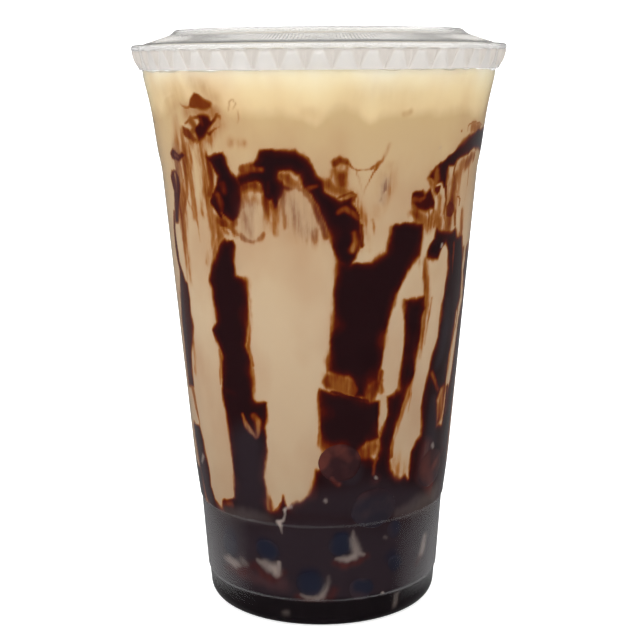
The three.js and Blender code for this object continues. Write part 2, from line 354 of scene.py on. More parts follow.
def clear_plastic(name, tint, haze_and_painted_light_tint, roughness, ripple):
    """Clear moulded plastic that lets light through to what is inside it, and is milky by its haze; the
    haze also carries the painted highlights, sheen and shade that the pieces give it.
    """
    nodes = Nodes(name)
    waves = nodes.noise(0.06, 2.0, (1, 1, 0.3))
    # A pale painted sheen where the surface is seen edge-on, as much as the piece asks for
    grazing = nodes.tree.nodes.new("ShaderNodeLayerWeight").outputs["Facing"]
    edge_sheen = nodes.math("MULTIPLY", nodes.attribute("edge_sheen"), nodes.spread(grazing, 0.3, 0.8))
    haze = nodes.math("ADD", nodes.attribute("haze"), edge_sheen)
    body = nodes.add(
        "ShaderNodeBsdfPrincipled",
        Base_Color=nodes.mix(haze, tint, haze_and_painted_light_tint),
        Roughness=roughness,
        IOR=PLASTIC_IOR,
        Transmission_Weight=nodes.math("SUBTRACT", 1.0, haze),
        Normal=nodes.bump(waves, ripple, 1.0),
    )
    through = nodes.add("ShaderNodeBsdfTransparent", Color=SHADOW_TINT)
    lights = nodes.tree.nodes.new("ShaderNodeLightPath")
    return nodes.finish(nodes.mix_shaders(lights.outputs["Is Shadow Ray"], body, through))


# Colours of the drink, read off the photograph
MILK_BY_HEIGHT = [
    (30, (175, 154, 127)),
    (55, (184, 161, 133)),
    (85, (195, 173, 144)),
    (115, (195, 170, 136)),
    (128, (197, 171, 132)),
    (135.5, (199, 173, 131)),
    (138.5, (222, 200, 157)),
    (142, (228, 209, 168)),
    # The last two stops turn whitish: the cream's own colour, with a painted highlight along the foam's
    # edge
    (145.5, (234, 221, 188)),
    (148, (238, 230, 208)),
]
SYRUP_BY_TONE = [
    (0.0, (185, 148, 104)),
    (0.3, (160, 108, 60)),
    (0.45, (138, 80, 28)),
    (0.6, (112, 46, 9)),
    (0.75, (82, 20, 6)),
    (0.88, (56, 10, 8)),
    (1.0, (33, 11, 14)),
]
DULL_BY_TONE = [
    (0.0, (176, 150, 122)),
    (0.3, (150, 116, 92)),
    (0.6, (98, 66, 60)),
    (0.8, (64, 42, 44)),
    (1.0, (42, 32, 37)),
]
# Pale milk at the wall, also the colour of the painted highlights and glints
PALE_MILK_AND_GLINT = (166, 150, 141)
PEARL_TOUCH = (22, 24, 40)
PEARL_DARK = ((33, 27, 36), (46, 34, 39))
# Browner pearl colours for higher up the heap, a painted glow of the light from above
PEARL_LIT_BROWN = ((45, 19, 22), (58, 29, 29))
PEARL_REDDISH = (92, 45, 38)
FOOT_DARK = (20, 14, 17)


def drink_material():
    """Milk tea and cream, with syrup over them as deep as the painting says."""
    nodes = Nodes("milk_tea_and_syrup")
    height = nodes.height()
    cloud = nodes.noise(0.09, 4.0, (1, 1, 0.7))
    uneven = nodes.math("ADD", height, nodes.math("MULTIPLY", nodes.math("SUBTRACT", cloud, 0.5), 7.0))
    uneven = nodes.math("ADD", uneven, nodes.attribute("rise"))
    low, high = MILK_BY_HEIGHT[0][0], MILK_BY_HEIGHT[-1][0]
    stops = [((z - low) / (high - low), srgb(*colour)) for z, colour in MILK_BY_HEIGHT]
    milk = nodes.ramp(nodes.spread(uneven, low, high), stops)
    stain = nodes.spread(nodes.noise(0.06, 3.0, (1, 1, 0.6)), 0.42, 0.68)
    milk = nodes.mix(stain, milk, MILK_STAIN, "MULTIPLY")
    streaks = nodes.noise(0.55, 3.0, (1, 1, 0.1))
    specks = nodes.noise(0.5, 3.0, (1, 1, 0.6))
    tone = nodes.attribute("tone")
    half_tone = nodes.math("MULTIPLY", nodes.spread(tone, 0.0, 0.25), nodes.math("SUBTRACT", 1.0, tone))
    wander = nodes.math("ADD", nodes.math("MULTIPLY", nodes.math("SUBTRACT", streaks, 0.5), 1.5),
                        nodes.math("MULTIPLY", nodes.math("SUBTRACT", specks, 0.5), 0.5))
    wander = nodes.math("MULTIPLY", wander, nodes.spread(height, 127.0, 134.0, 1.0, 0.25))
    tone = nodes.math("ADD", tone, nodes.math("MULTIPLY", half_tone, wander), clamp=True)
    warm = nodes.ramp(tone, [(place, srgb(*colour)) for place, colour in SYRUP_BY_TONE])
    cool = nodes.ramp(tone, [(place, srgb(*colour)) for place, colour in DULL_BY_TONE])
    syrup = nodes.mix(nodes.attribute("dull"), warm, cool)
    syrup = nodes.mix(nodes.spread(height, 9.5, 7.0), syrup, srgb(*FOOT_DARK))
    colour = nodes.mix(nodes.spread(tone, 0.0, 0.3), milk, syrup)
    uneven_touch = nodes.spread(specks, 0.2, 0.45, 0.75, 1.0)
    touch = nodes.math("MULTIPLY", nodes.attribute("touch"), uneven_touch)
    colour = nodes.mix(touch, colour, srgb(*PEARL_TOUCH))
    uneven_pale = nodes.spread(specks, 0.3, 0.6, 0.8, 1.05)
    pale = nodes.math("MULTIPLY", nodes.attribute("pale"), uneven_pale, clamp=True)
    colour = nodes.mix(pale, colour, srgb(*PALE_MILK_AND_GLINT))
    body = nodes.add(
        "ShaderNodeBsdfPrincipled", Base_Color=colour, Roughness=0.5, IOR=1.35, Specular_IOR_Level=0.05,
    )
    return nodes.finish(body)


def pearl_material():
    """A tapioca pearl, with the syrup's tone where it lies at the wall, and browner higher up the heap as a
    painted glow of the light from above.
    """
    nodes = Nodes("tapioca_pearl")
    patches = nodes.noise(0.18, 3.0)
    blotches = nodes.spread(patches, 0.4, 0.65)
    dark, brown = (nodes.mix(blotches, srgb(*low), srgb(*high)) for low, high in (PEARL_DARK, PEARL_LIT_BROWN))
    # Browner higher up: painted light coming down onto the heap
    dark = nodes.mix(nodes.spread(nodes.height(), 36.0, 41.0), dark, brown)
    thin = nodes.math("SUBTRACT", 1.0, nodes.attribute("tone"))
    uneven = nodes.spread(patches, 0.3, 0.6, 0.6, 1.0)
    reddish = nodes.math("MULTIPLY", nodes.spread(thin, 0.08, 0.42), uneven)
    colour = nodes.mix(reddish, dark, srgb(*PEARL_REDDISH))
    colour = nodes.mix(nodes.attribute("touch"), colour, srgb(*PEARL_TOUCH))
    colour = nodes.mix(nodes.attribute("pale"), colour, srgb(*PALE_MILK_AND_GLINT))
    body = nodes.add(
        "ShaderNodeBsdfPrincipled", Base_Color=colour, Roughness=0.4, IOR=1.4,
        Specular_IOR_Level=0.1, Normal=nodes.bump(nodes.noise(1.2, 2.0), 0.3, 0.1),
    )
    return nodes.finish(body)


def stage_material():
    """Pale and softly lit of itself, with faint specks."""
    nodes = Nodes("pale_floor")
    speckle = nodes.noise(0.02, 2.0)
    tone = nodes.mix(nodes.math("MULTIPLY", speckle, 0.1), FLOOR_PALE, FLOOR_SPECK)
    body = nodes.add(
        "ShaderNodeBsdfPrincipled", Base_Color=tone, Roughness=0.9, Specular_IOR_Level=0.0,
        Emission_Color=(1, 1, 1, 1), Emission_Strength=FLOOR_GLOW,
    )
    return nodes.finish(body)


# What lies on the inside of the wall, placed by pixels of the photograph, which on_wall puts on the
# cup. Tone runs from 0, bare milk, over 0.5, amber, to 1, syrup too deep to see through.

# Deep pools of syrup: the deepest tone, and the outline
SYRUP_POOLS = {
    "swirl_cap": (0.6, [
        (194.5, 93), (199, 95.5), (205, 99.5), (211, 104), (211, 107.5), (204, 108.5), (192, 108),
        (190, 105), (191.5, 99),
    ]),
    "swirl": (0.9, [
        (198, 115), (204, 114), (209, 116), (211, 120), (213, 123), (210.5, 127), (208, 132),
        (205.5, 137), (201, 141), (198.5, 142), (197.5, 136), (195, 131), (196, 126), (200, 122),
    ]),
    "swirl_lobe": (0.6, [
        (183.5, 126.5), (189, 129), (192, 133), (197, 140), (194, 141), (188, 137.5), (183.5, 132),
    ]),
    "left_mark": (0.82, [
        (173, 148.5), (176, 151), (180, 154), (183.5, 152), (186, 156), (182, 158.5), (180, 161.5),
        (176, 160), (173, 157.5), (171.5, 153),
    ]),
    "left_leaf": (0.8, [
        (173, 170.5), (177, 170), (180, 176), (181.5, 184), (181.5, 192), (180, 206), (180, 222),
        (176.5, 222), (176, 206), (175.5, 192), (173.5, 184), (172, 176),
    ]),
    "streak_one_top": (1, [
        (206, 152.5), (208, 156), (222.5, 152), (225.5, 156.5), (228, 165), (232.5, 173.5),
        (237.5, 178.5), (241, 186), (241, 199), (239, 216.5), (234, 222), (228, 219), (222, 215),
        (216, 211), (212, 205), (211, 199.5), (213.5, 192), (217.5, 184), (218.5, 176), (213, 168),
        (209.5, 162), (206, 157),
    ]),
    "streak_one_knot": (1, [
        (218, 250), (221, 243), (225, 240), (233, 240), (235, 246), (235, 262), (236, 275), (247, 281),
        (248.5, 300), (248.5, 330), (246, 345), (251, 360), (253.5, 380), (254, 400), (222.5, 391),
        (223, 379), (222, 366), (223.5, 355), (219.5, 346), (216.5, 338), (213.5, 330.5), (217, 320),
        (216, 309), (214, 299), (213, 289), (210, 280), (212, 265), (216, 256),
    ]),
    "streak_one_foot": (1, [
        (222, 388), (252, 388), (254, 398.5), (257, 402), (267.5, 402.5), (267.5, 419), (265.5, 428),
        (267, 438), (267.5, 450), (265.5, 465), (264, 477), (266.5, 487), (267.5, 503), (270, 522),
        (230, 522), (235, 497), (235, 481), (233.5, 465), (231.5, 445), (229.5, 428), (226, 410),
        (223.5, 399),
    ]),
    "arch": (1, [
        (237.5, 178.5), (243, 174), (250, 166), (257, 158.5), (260, 151), (266, 149.5), (281, 150),
        (295.5, 151), (303, 154.5), (309, 160), (313.5, 167), (318, 175), (324, 181), (325, 190.5),
        (332.5, 197), (341, 200), (353, 197), (352, 204), (356, 208), (357.5, 216), (360, 226),
        (362, 240), (356, 258), (348, 270), (338, 262), (331, 244), (327, 229), (323, 219), (318.5, 207),
        (312.5, 197), (307, 190.5), (301, 184), (298.5, 175), (289, 170.5), (279, 171.5), (279, 178.5),
        (284, 184.5), (292.5, 189.5), (284, 190), (280, 199), (278, 208), (274.5, 209), (271, 200),
        (268, 200), (264, 197), (260.5, 184), (256, 181), (248, 182.5), (242, 186), (239.5, 189),
    ]),
    "centre_mass": (1, [
        (338, 260), (350, 264), (372, 262), (386, 252), (389.5, 240), (391.5, 227), (395, 223),
        (414.5, 222.5), (422.5, 225), (422, 238), (419, 255), (408, 270), (398, 290), (390, 312),
        (385, 335), (383, 352), (380, 368), (377, 380), (368, 386), (365, 397), (354, 397), (352, 382),
        (348, 376), (338, 376), (328, 371), (327, 362), (330, 345), (333, 320), (334, 290),
    ]),
    "dark_square": (1, [
        (319.5, 389.5), (326, 391.5), (337, 394), (354, 396), (362, 399), (370, 401.5), (380.5, 401),
        (381, 412), (379.5, 426), (377.5, 438), (368, 442), (361, 447), (360, 455), (368, 457),
        (375, 460), (381, 452), (384, 470), (372, 494), (345, 504), (316, 500), (315, 485), (317, 472),
        (324, 466), (330, 456), (322, 446), (320, 430), (319.5, 410),
    ]),
    "right_arc": (0.97, [
        (484, 126), (476, 130), (467, 136.5), (460, 144), (455, 150), (449, 155.5), (437, 165),
        (430.5, 170.5), (428, 178), (432, 185), (441, 183), (444.5, 188), (446.5, 176), (448, 166),
        (453, 165), (456, 159.5), (463, 156), (469.5, 150), (475, 147), (480, 151), (486, 160),
    ]),
    "arc_wedge": (0.8, [(434, 186), (440, 186.5), (439, 192), (436, 195.5), (434, 191)]),
    "right_blob": (0.88, [
        (412, 193), (416, 190.5), (422, 190.5), (424, 195), (427, 192), (430, 188.5), (432, 196),
        (434, 203), (433, 208.5), (428, 210), (419, 210), (411.5, 208), (411, 198),
    ]),
    "right_drop": (0.7, [(445.5, 206), (449, 200), (452.5, 203), (453.5, 210), (450.5, 217), (445.5, 216)]),
    "right_block": (1, [
        (436, 226.5), (438, 230), (444, 230), (452, 231), (454.5, 227.5), (456, 236), (461, 236),
        (461, 262), (460, 280), (459, 297), (455, 312), (452, 332), (448.5, 352), (446, 370), (444, 386),
        (440, 388), (436, 400), (436, 424), (434, 440), (428, 444), (422, 445), (420, 436), (421, 426),
        (420.5, 407), (423.5, 390), (427.5, 374), (430.5, 357), (437, 336), (440, 315), (441.5, 300),
        (444.5, 283), (447, 268), (447, 250), (445, 243), (441, 247), (437, 259), (426, 258), (427, 251),
        (429, 245), (434, 238),
    ]),
    "far_right": (0.9, [
        (465, 249), (474, 249), (470, 290), (464, 340), (460, 385), (457, 420), (449, 447), (441, 446),
        (442.5, 424), (444.5, 404), (446.5, 388), (449, 380), (453, 350), (457, 318), (461, 297),
        (462, 270),
    ]),
    "stripe_three_side": (1, [
        (404, 300), (424, 296), (424.5, 308), (421, 318), (420, 330), (418, 345), (415, 362),
        (413.5, 375), (409.5, 385), (405, 394), (401.5, 407), (397.5, 420), (393, 435), (390, 449),
        (388.5, 460), (390, 470), (394, 476), (398, 479), (402, 477), (405, 474), (408, 479), (410, 500),
        (372, 500), (376, 477), (377, 458), (379, 449), (379, 438), (384, 424), (387.5, 415), (387, 397),
        (393, 394), (398.5, 390), (399, 374), (402, 360), (404, 340),
    ]),
    "right_foot": (1, [
        (408, 478), (409.5, 458), (411, 451), (416, 441), (421, 434), (430, 428), (440, 424), (447, 400),
        (456, 380), (450, 447), (440, 500), (425, 510), (404, 500),
    ]),
    "left_edge_low": (0.95, [
        (190, 424), (200, 425), (202, 430), (204.5, 440), (206.5, 452), (209, 463), (211, 475),
        (212, 486), (216, 498), (224, 510), (222, 520), (205, 512), (196, 480),
    ]),
    "left_edge_middle": (0.9, [
        (181, 270), (188.5, 284), (191, 300), (192, 314), (194, 326), (194, 338), (192.5, 352),
        (193.5, 372), (195, 386), (188, 386), (183.5, 320),
    ]),
    "pool_edge": (1, [
        (190, 520), (205, 510), (216, 503), (223, 508), (223, 500), (234, 497.5), (266, 501),
        (268, 508.5), (272, 511.5), (277.5, 508.5), (281.5, 503), (283.5, 494.5), (286, 504),
        (288.5, 507.5), (291.5, 503), (302, 501.5), (309, 496), (313, 486), (316, 470), (345, 490),
        (376, 480), (394, 478), (408, 478), (430, 490), (445, 470), (450, 560), (320, 650), (190, 560),
    ]),
}

# Soft stains and thin syrup over the milk: softness, then pixel, half-width in pixels and tone
WASHES = {
    "over_swirl": (0.95, [(190, 82, 8, 0.1), (204, 90, 9, 0.18), (214, 99, 8, 0.16)]),
    "round_swirl": (0.9, [
        (188, 112, 9, 0.2), (200, 111, 9, 0.24), (215, 113, 9, 0.28), (219, 124, 8, 0.24),
        (208, 138, 9, 0.26), (190, 140, 8, 0.26),
    ]),
    "left_of_swirl": (0.9, [
        (176, 118, 7, 0.16), (178, 140, 8, 0.26), (178, 160, 9, 0.38), (181, 185, 9, 0.42),
        (183, 205, 9, 0.42), (184, 225, 8, 0.38), (187, 250, 7, 0.32), (191, 280, 6, 0.24),
    ]),
    "left_dark_veil": (0.9, [
        (182, 130, 4, 0.34), (185, 150, 4.4, 0.52), (186, 170, 4.4, 0.52), (188, 192, 4, 0.5),
        (184, 215, 3.4, 0.44), (184, 240, 3, 0.36),
    ]),
    "left_middle_veil": (0.9, [
        (188, 145, 5, 0.34), (191, 170, 5, 0.36), (193, 195, 6, 0.38), (196, 215, 5, 0.3),
    ]),
    "left_third_veil": (0.9, [
        (207, 195, 5, 0.44), (211, 215, 6, 0.42), (214, 235, 5, 0.34), (209, 262, 4, 0.2),
    ]),
    "swirl_inside": (0.8, [(192, 121, 5, 0.52), (196, 127, 4, 0.56), (192, 134, 4, 0.5)]),
    # Painted reddish shade below the arm, fading downwards
    "shade_below_arm": (0.9, [(244, 187, 6, 0.56), (253, 185, 6, 0.56), (261, 190, 5, 0.56)]),
    "shade_below_arm_fade": (0.95, [(245, 200, 9, 0.26), (257, 202, 9, 0.3), (258, 215, 8, 0.12)]),
    "inside_arch": (0.95, [
        (290, 198, 10, 0.18), (300, 212, 14, 0.2), (306, 228, 14, 0.24), (314, 238, 9, 0.36),
    ]),
    "under_swirl": (0.9, [
        (203, 140, 4, 0.3), (202, 150, 8, 0.34), (205, 166, 8, 0.34), (206, 190, 7, 0.4),
        (204, 212, 6, 0.3),
    ]),
    "beside_streak_one": (0.8, [
        (208, 158, 4, 0.6), (211, 170, 5, 0.66), (212, 182, 5, 0.64), (210, 194, 5, 0.6),
    ]),
    "under_streak_one": (0.85, [
        (215, 216, 4, 0.42), (218, 226, 5.5, 0.46), (220, 236, 5, 0.44), (216, 248, 3.5, 0.4),
        (213, 262, 3, 0.35),
    ]),
    "loop_side": (0.85, [(233, 212, 5, 0.64), (234, 222, 5, 0.6), (229, 231, 5, 0.5)]),
    "first_arch_foot": (0.95, [(248, 214, 11, 0.15), (250, 230, 11, 0.14)]),
    "loop": (0.9, [
        (219, 220, 6, 0.62), (226, 225, 6, 0.58), (234, 231, 4.6, 0.5), (242, 237.5, 3, 0.38),
        (252, 241.5, 2, 0.24),
    ]),
    "loop_end": (0.9, [(254, 242, 2, 0.28), (259, 239.5, 3.4, 0.42), (264.5, 234, 3, 0.38)]),
    "blob_one": (0.9, [(231.5, 142.5, 5, 0.22), (242.5, 143.5, 4.6, 0.25)]),
    "leg_one": (0.8, [
        (265, 198, 4, 0.62), (266, 206, 3.8, 0.5), (267, 216, 4.4, 0.38), (268, 230, 4, 0.2),
    ]),
    "leg_two": (0.8, [(275, 206, 6, 0.6), (276, 213, 5.5, 0.46), (276, 222, 5, 0.4), (276, 233, 4, 0.2)]),
    "leg_three": (0.8, [
        (283, 192, 3, 0.5), (283, 203, 3.6, 0.42), (283.5, 215, 3.2, 0.42), (286, 227, 2.6, 0.3),
    ]),
    "arch_inner": (0.8, [
        (303, 189, 3, 0.5), (310, 198, 3.4, 0.52), (316, 209, 3.4, 0.54), (320.5, 221, 3.4, 0.55),
        (326, 236, 4, 0.6),
    ]),
    "arch_outer": (0.9, [
        (322, 188, 6, 0.24), (331, 188, 6, 0.28), (343, 190, 8, 0.3), (356, 202, 6, 0.26),
        (363, 218, 5, 0.24), (367, 236, 4, 0.22), (366, 250, 4, 0.2),
    ]),
    "arm_top": (0.7, [(243, 169, 4, 0.52), (252, 168, 4, 0.5), (261, 169, 3, 0.56)]),
    "hook_head": (0.7, [(335.5, 163.5, 4.6, 0.62), (340, 160.5, 4.8, 0.66), (345.5, 163, 3.8, 0.58)]),
    "hook_body": (0.8, [(336, 171, 5.4, 0.54), (340, 176, 8, 0.62), (341, 183, 7.4, 0.56)]),
    "arch_end": (0.9, [(326, 184, 5, 0.5), (334, 189, 6, 0.5), (343, 192, 6, 0.48), (351, 197, 5, 0.5)]),
    "hook_neck": (0.8, [
        (347, 163, 1.6, 0.5), (350.5, 166.5, 1.3, 0.42), (357, 170, 1.2, 0.3), (366, 170, 1, 0.28),
        (374, 166.5, 1.3, 0.34), (378, 164, 2.3, 0.4), (382, 160, 1.6, 0.3), (386, 152, 2, 0.14),
        (390, 144, 2, 0.08),
    ]),
    "hook_leaf": (0.8, [
        (377, 167, 1.6, 0.4), (372.5, 173.5, 1.2, 0.38), (368.5, 180.5, 0.9, 0.32), (365, 189, 0.8, 0.26),
        (363, 197, 0.7, 0.16),
    ]),
    "hook_line": (0.8, [(356, 171, 0.8, 0.2), (359.5, 182, 0.8, 0.2), (362, 193, 0.8, 0.14)]),
    "hook_loop": (0.7, [
        (339, 197, 1.6, 0.56), (346, 194, 1.6, 0.6), (352, 193, 1.7, 0.58), (355, 196.5, 1.6, 0.56),
        (352.5, 201, 2, 0.62),
    ]),
    "drip": (0.8, [(372.5, 220, 1.8, 0.3), (373.5, 227, 2, 0.38), (374, 234, 1.4, 0.24)]),
    "cloud": (0.95, [(388, 170, 8, 0.1), (386, 188, 8, 0.2), (380, 202, 7, 0.18), (376, 214, 6, 0.12)]),
    "right_stripes": (0.9, [
        (472, 156, 6, 0.44), (461, 166, 8, 0.42), (454, 184, 10, 0.46), (450, 206, 11, 0.5),
        (446, 226, 9, 0.5),
    ]),
    "right_stripes_low": (0.9, [(461, 212, 5, 0.3), (460, 235, 5, 0.34), (440, 240, 5, 0.46)]),
    "blob_skirt": (0.85, [
        (413, 212, 5.5, 0.62), (419, 217, 6.5, 0.52), (427, 224, 8, 0.4), (434, 214, 6, 0.42),
        (438, 226, 6, 0.42),
    ]),
    "arc_side": (0.8, [(428, 178, 3, 0.36), (432, 187, 3, 0.4), (439, 198, 4, 0.4), (438, 212, 4, 0.34)]),
    "drop_side": (0.8, [
        (451, 194, 1.4, 0.5), (451, 200, 2, 0.6), (454, 212, 3, 0.5), (454, 224, 2.6, 0.5),
    ]),
    "bubble_top": (0.8, [(472, 127, 6.5, 0.4), (478, 129, 5, 0.42)]),
    "right_of_block": (0.9, [(462, 250, 4, 0.5), (459, 275, 4, 0.5), (457, 296, 3, 0.56)]),
    "stripe_three_top": (0.85, [
        (423, 262, 6, 0.34), (426, 280, 5, 0.4), (426, 300, 4, 0.42), (424, 318, 4, 0.32),
        (421, 340, 3, 0.3), (418, 358, 3, 0.28),
    ]),
    "stripe_three_left": (0.8, [
        (416, 360, 2.4, 0.36), (412, 378, 3, 0.38), (408, 392, 3.4, 0.38), (403, 408, 3.4, 0.38),
        (398, 424, 2.6, 0.36), (393, 440, 2.4, 0.38), (390.5, 456, 2.4, 0.4),
    ]),
    "stripe_three_foot": (0.9, [(397, 460, 8, 0.16), (400, 472, 8, 0.3)]),
    "stripe_three_right": (0.8, [(423, 424, 2, 0.44), (421, 434, 2.6, 0.5), (415, 443, 2, 0.46)]),
    "patch_left": (0.8, [(381, 372, 3, 0.5), (379, 382, 3, 0.44), (381, 392, 3, 0.28)]),
    "square_left": (0.8, [
        (319, 392, 1.4, 0.5), (319, 410, 1.4, 0.44), (319.5, 430, 1.6, 0.42), (320, 444, 3, 0.4),
        (325, 452, 4, 0.4), (321, 461, 3, 0.34),
    ]),
    "milk_triangle": (0.85, [
        (365, 449, 4.6, 0.36), (370, 445, 4.6, 0.38), (377, 436, 3, 0.5), (381, 427, 2.4, 0.5),
    ]),
    "beside_stem": (0.8, [(377, 387, 3.2, 0.34), (381, 380, 3, 0.3)]),
    "window_left": (0.8, [(324, 374, 3.4, 0.12), (325.5, 380, 3.6, 0.14), (326, 385, 2.8, 0.2)]),
    "beside_pearl": (0.8, [(315, 484, 3, 0.62), (316, 492, 3.6, 0.6), (318, 501, 2.4, 0.64)]),
    "knot_left": (0.8, [
        (220, 350, 2, 0.45), (222, 360, 3, 0.48), (221, 370, 2, 0.5), (221, 384, 1.6, 0.4),
    ]),
    "knot_right": (0.8, [
        (246, 284, 3, 0.5), (250, 300, 2, 0.34), (251, 330, 2, 0.3), (248, 346, 2, 0.5),
        (253, 364, 2, 0.4),
    ]),
    "left_slit": (0.8, [
        (191, 372, 5, 0.44), (193.5, 386, 5, 0.46), (196, 400, 4.4, 0.46), (199, 414, 3, 0.46),
        (201, 424, 1.4, 0.3),
    ]),
    "left_low": (0.9, [(194, 340, 3, 0.4), (196, 356, 3.4, 0.36), (196, 372, 3.6, 0.3)]),
    "stripe_one_foot": (0.8, [(212, 500, 3, 0.3), (222, 509, 3, 0.44)]),
    "stripe_two_side": (0.85, [(265, 486, 3, 0.46), (267, 498, 4, 0.5), (271, 508, 4, 0.5)]),
    "cream_patches": (0.95, [
        (352, 97, 11, 0.05), (380, 91, 11, 0.06), (404, 97, 12, 0.06), (420, 95, 9, 0.04),
    ]),
    "cream_smudge": (0.9, [(404, 113.5, 3, 0.14), (410, 111.5, 3, 0.16)]),
    "cream_smudge_two": (0.95, [(304, 111, 4, 0.07), (315, 114, 5, 0.09)]),
    "cream_left": (0.95, [(160, 90, 10, 0.07), (178, 92, 12, 0.12), (170, 104, 12, 0.14)]),
    "stripe_two_foot": (0.8, [
        (268, 510, 2.4, 0.5), (275, 512, 2.6, 0.56), (284, 500, 1.6, 0.66), (286, 510, 4, 0.5),
        (281, 518, 4, 0.62), (296, 504, 2, 0.5),
    ]),
    "edge_line_right": (0.9, [
        (482, 140, 4, 0.95), (479, 152, 4, 0.9), (476, 166, 4, 0.8), (473, 200, 3.8, 0.72),
        (470, 230, 4.2, 0.78), (467, 250, 5, 0.9), (464, 290, 6, 0.94), (458, 340, 6, 0.94),
        (452, 400, 7, 0.95), (446, 450, 8, 0.95),
    ]),
    "edge_line_low_left": (0.8, [
        (193, 428, 6, 0.95), (197, 455, 8, 0.95), (200, 475, 9, 0.95), (203, 495, 10, 0.95),
    ]),
    "edge_line_left": (0.8, [
        (175.5, 212, 2.6, 0.64), (176, 232, 3, 0.72), (177.5, 246, 3.6, 0.84), (180, 262, 3.8, 0.86),
        (185, 280, 4, 0.9),
    ]),
}

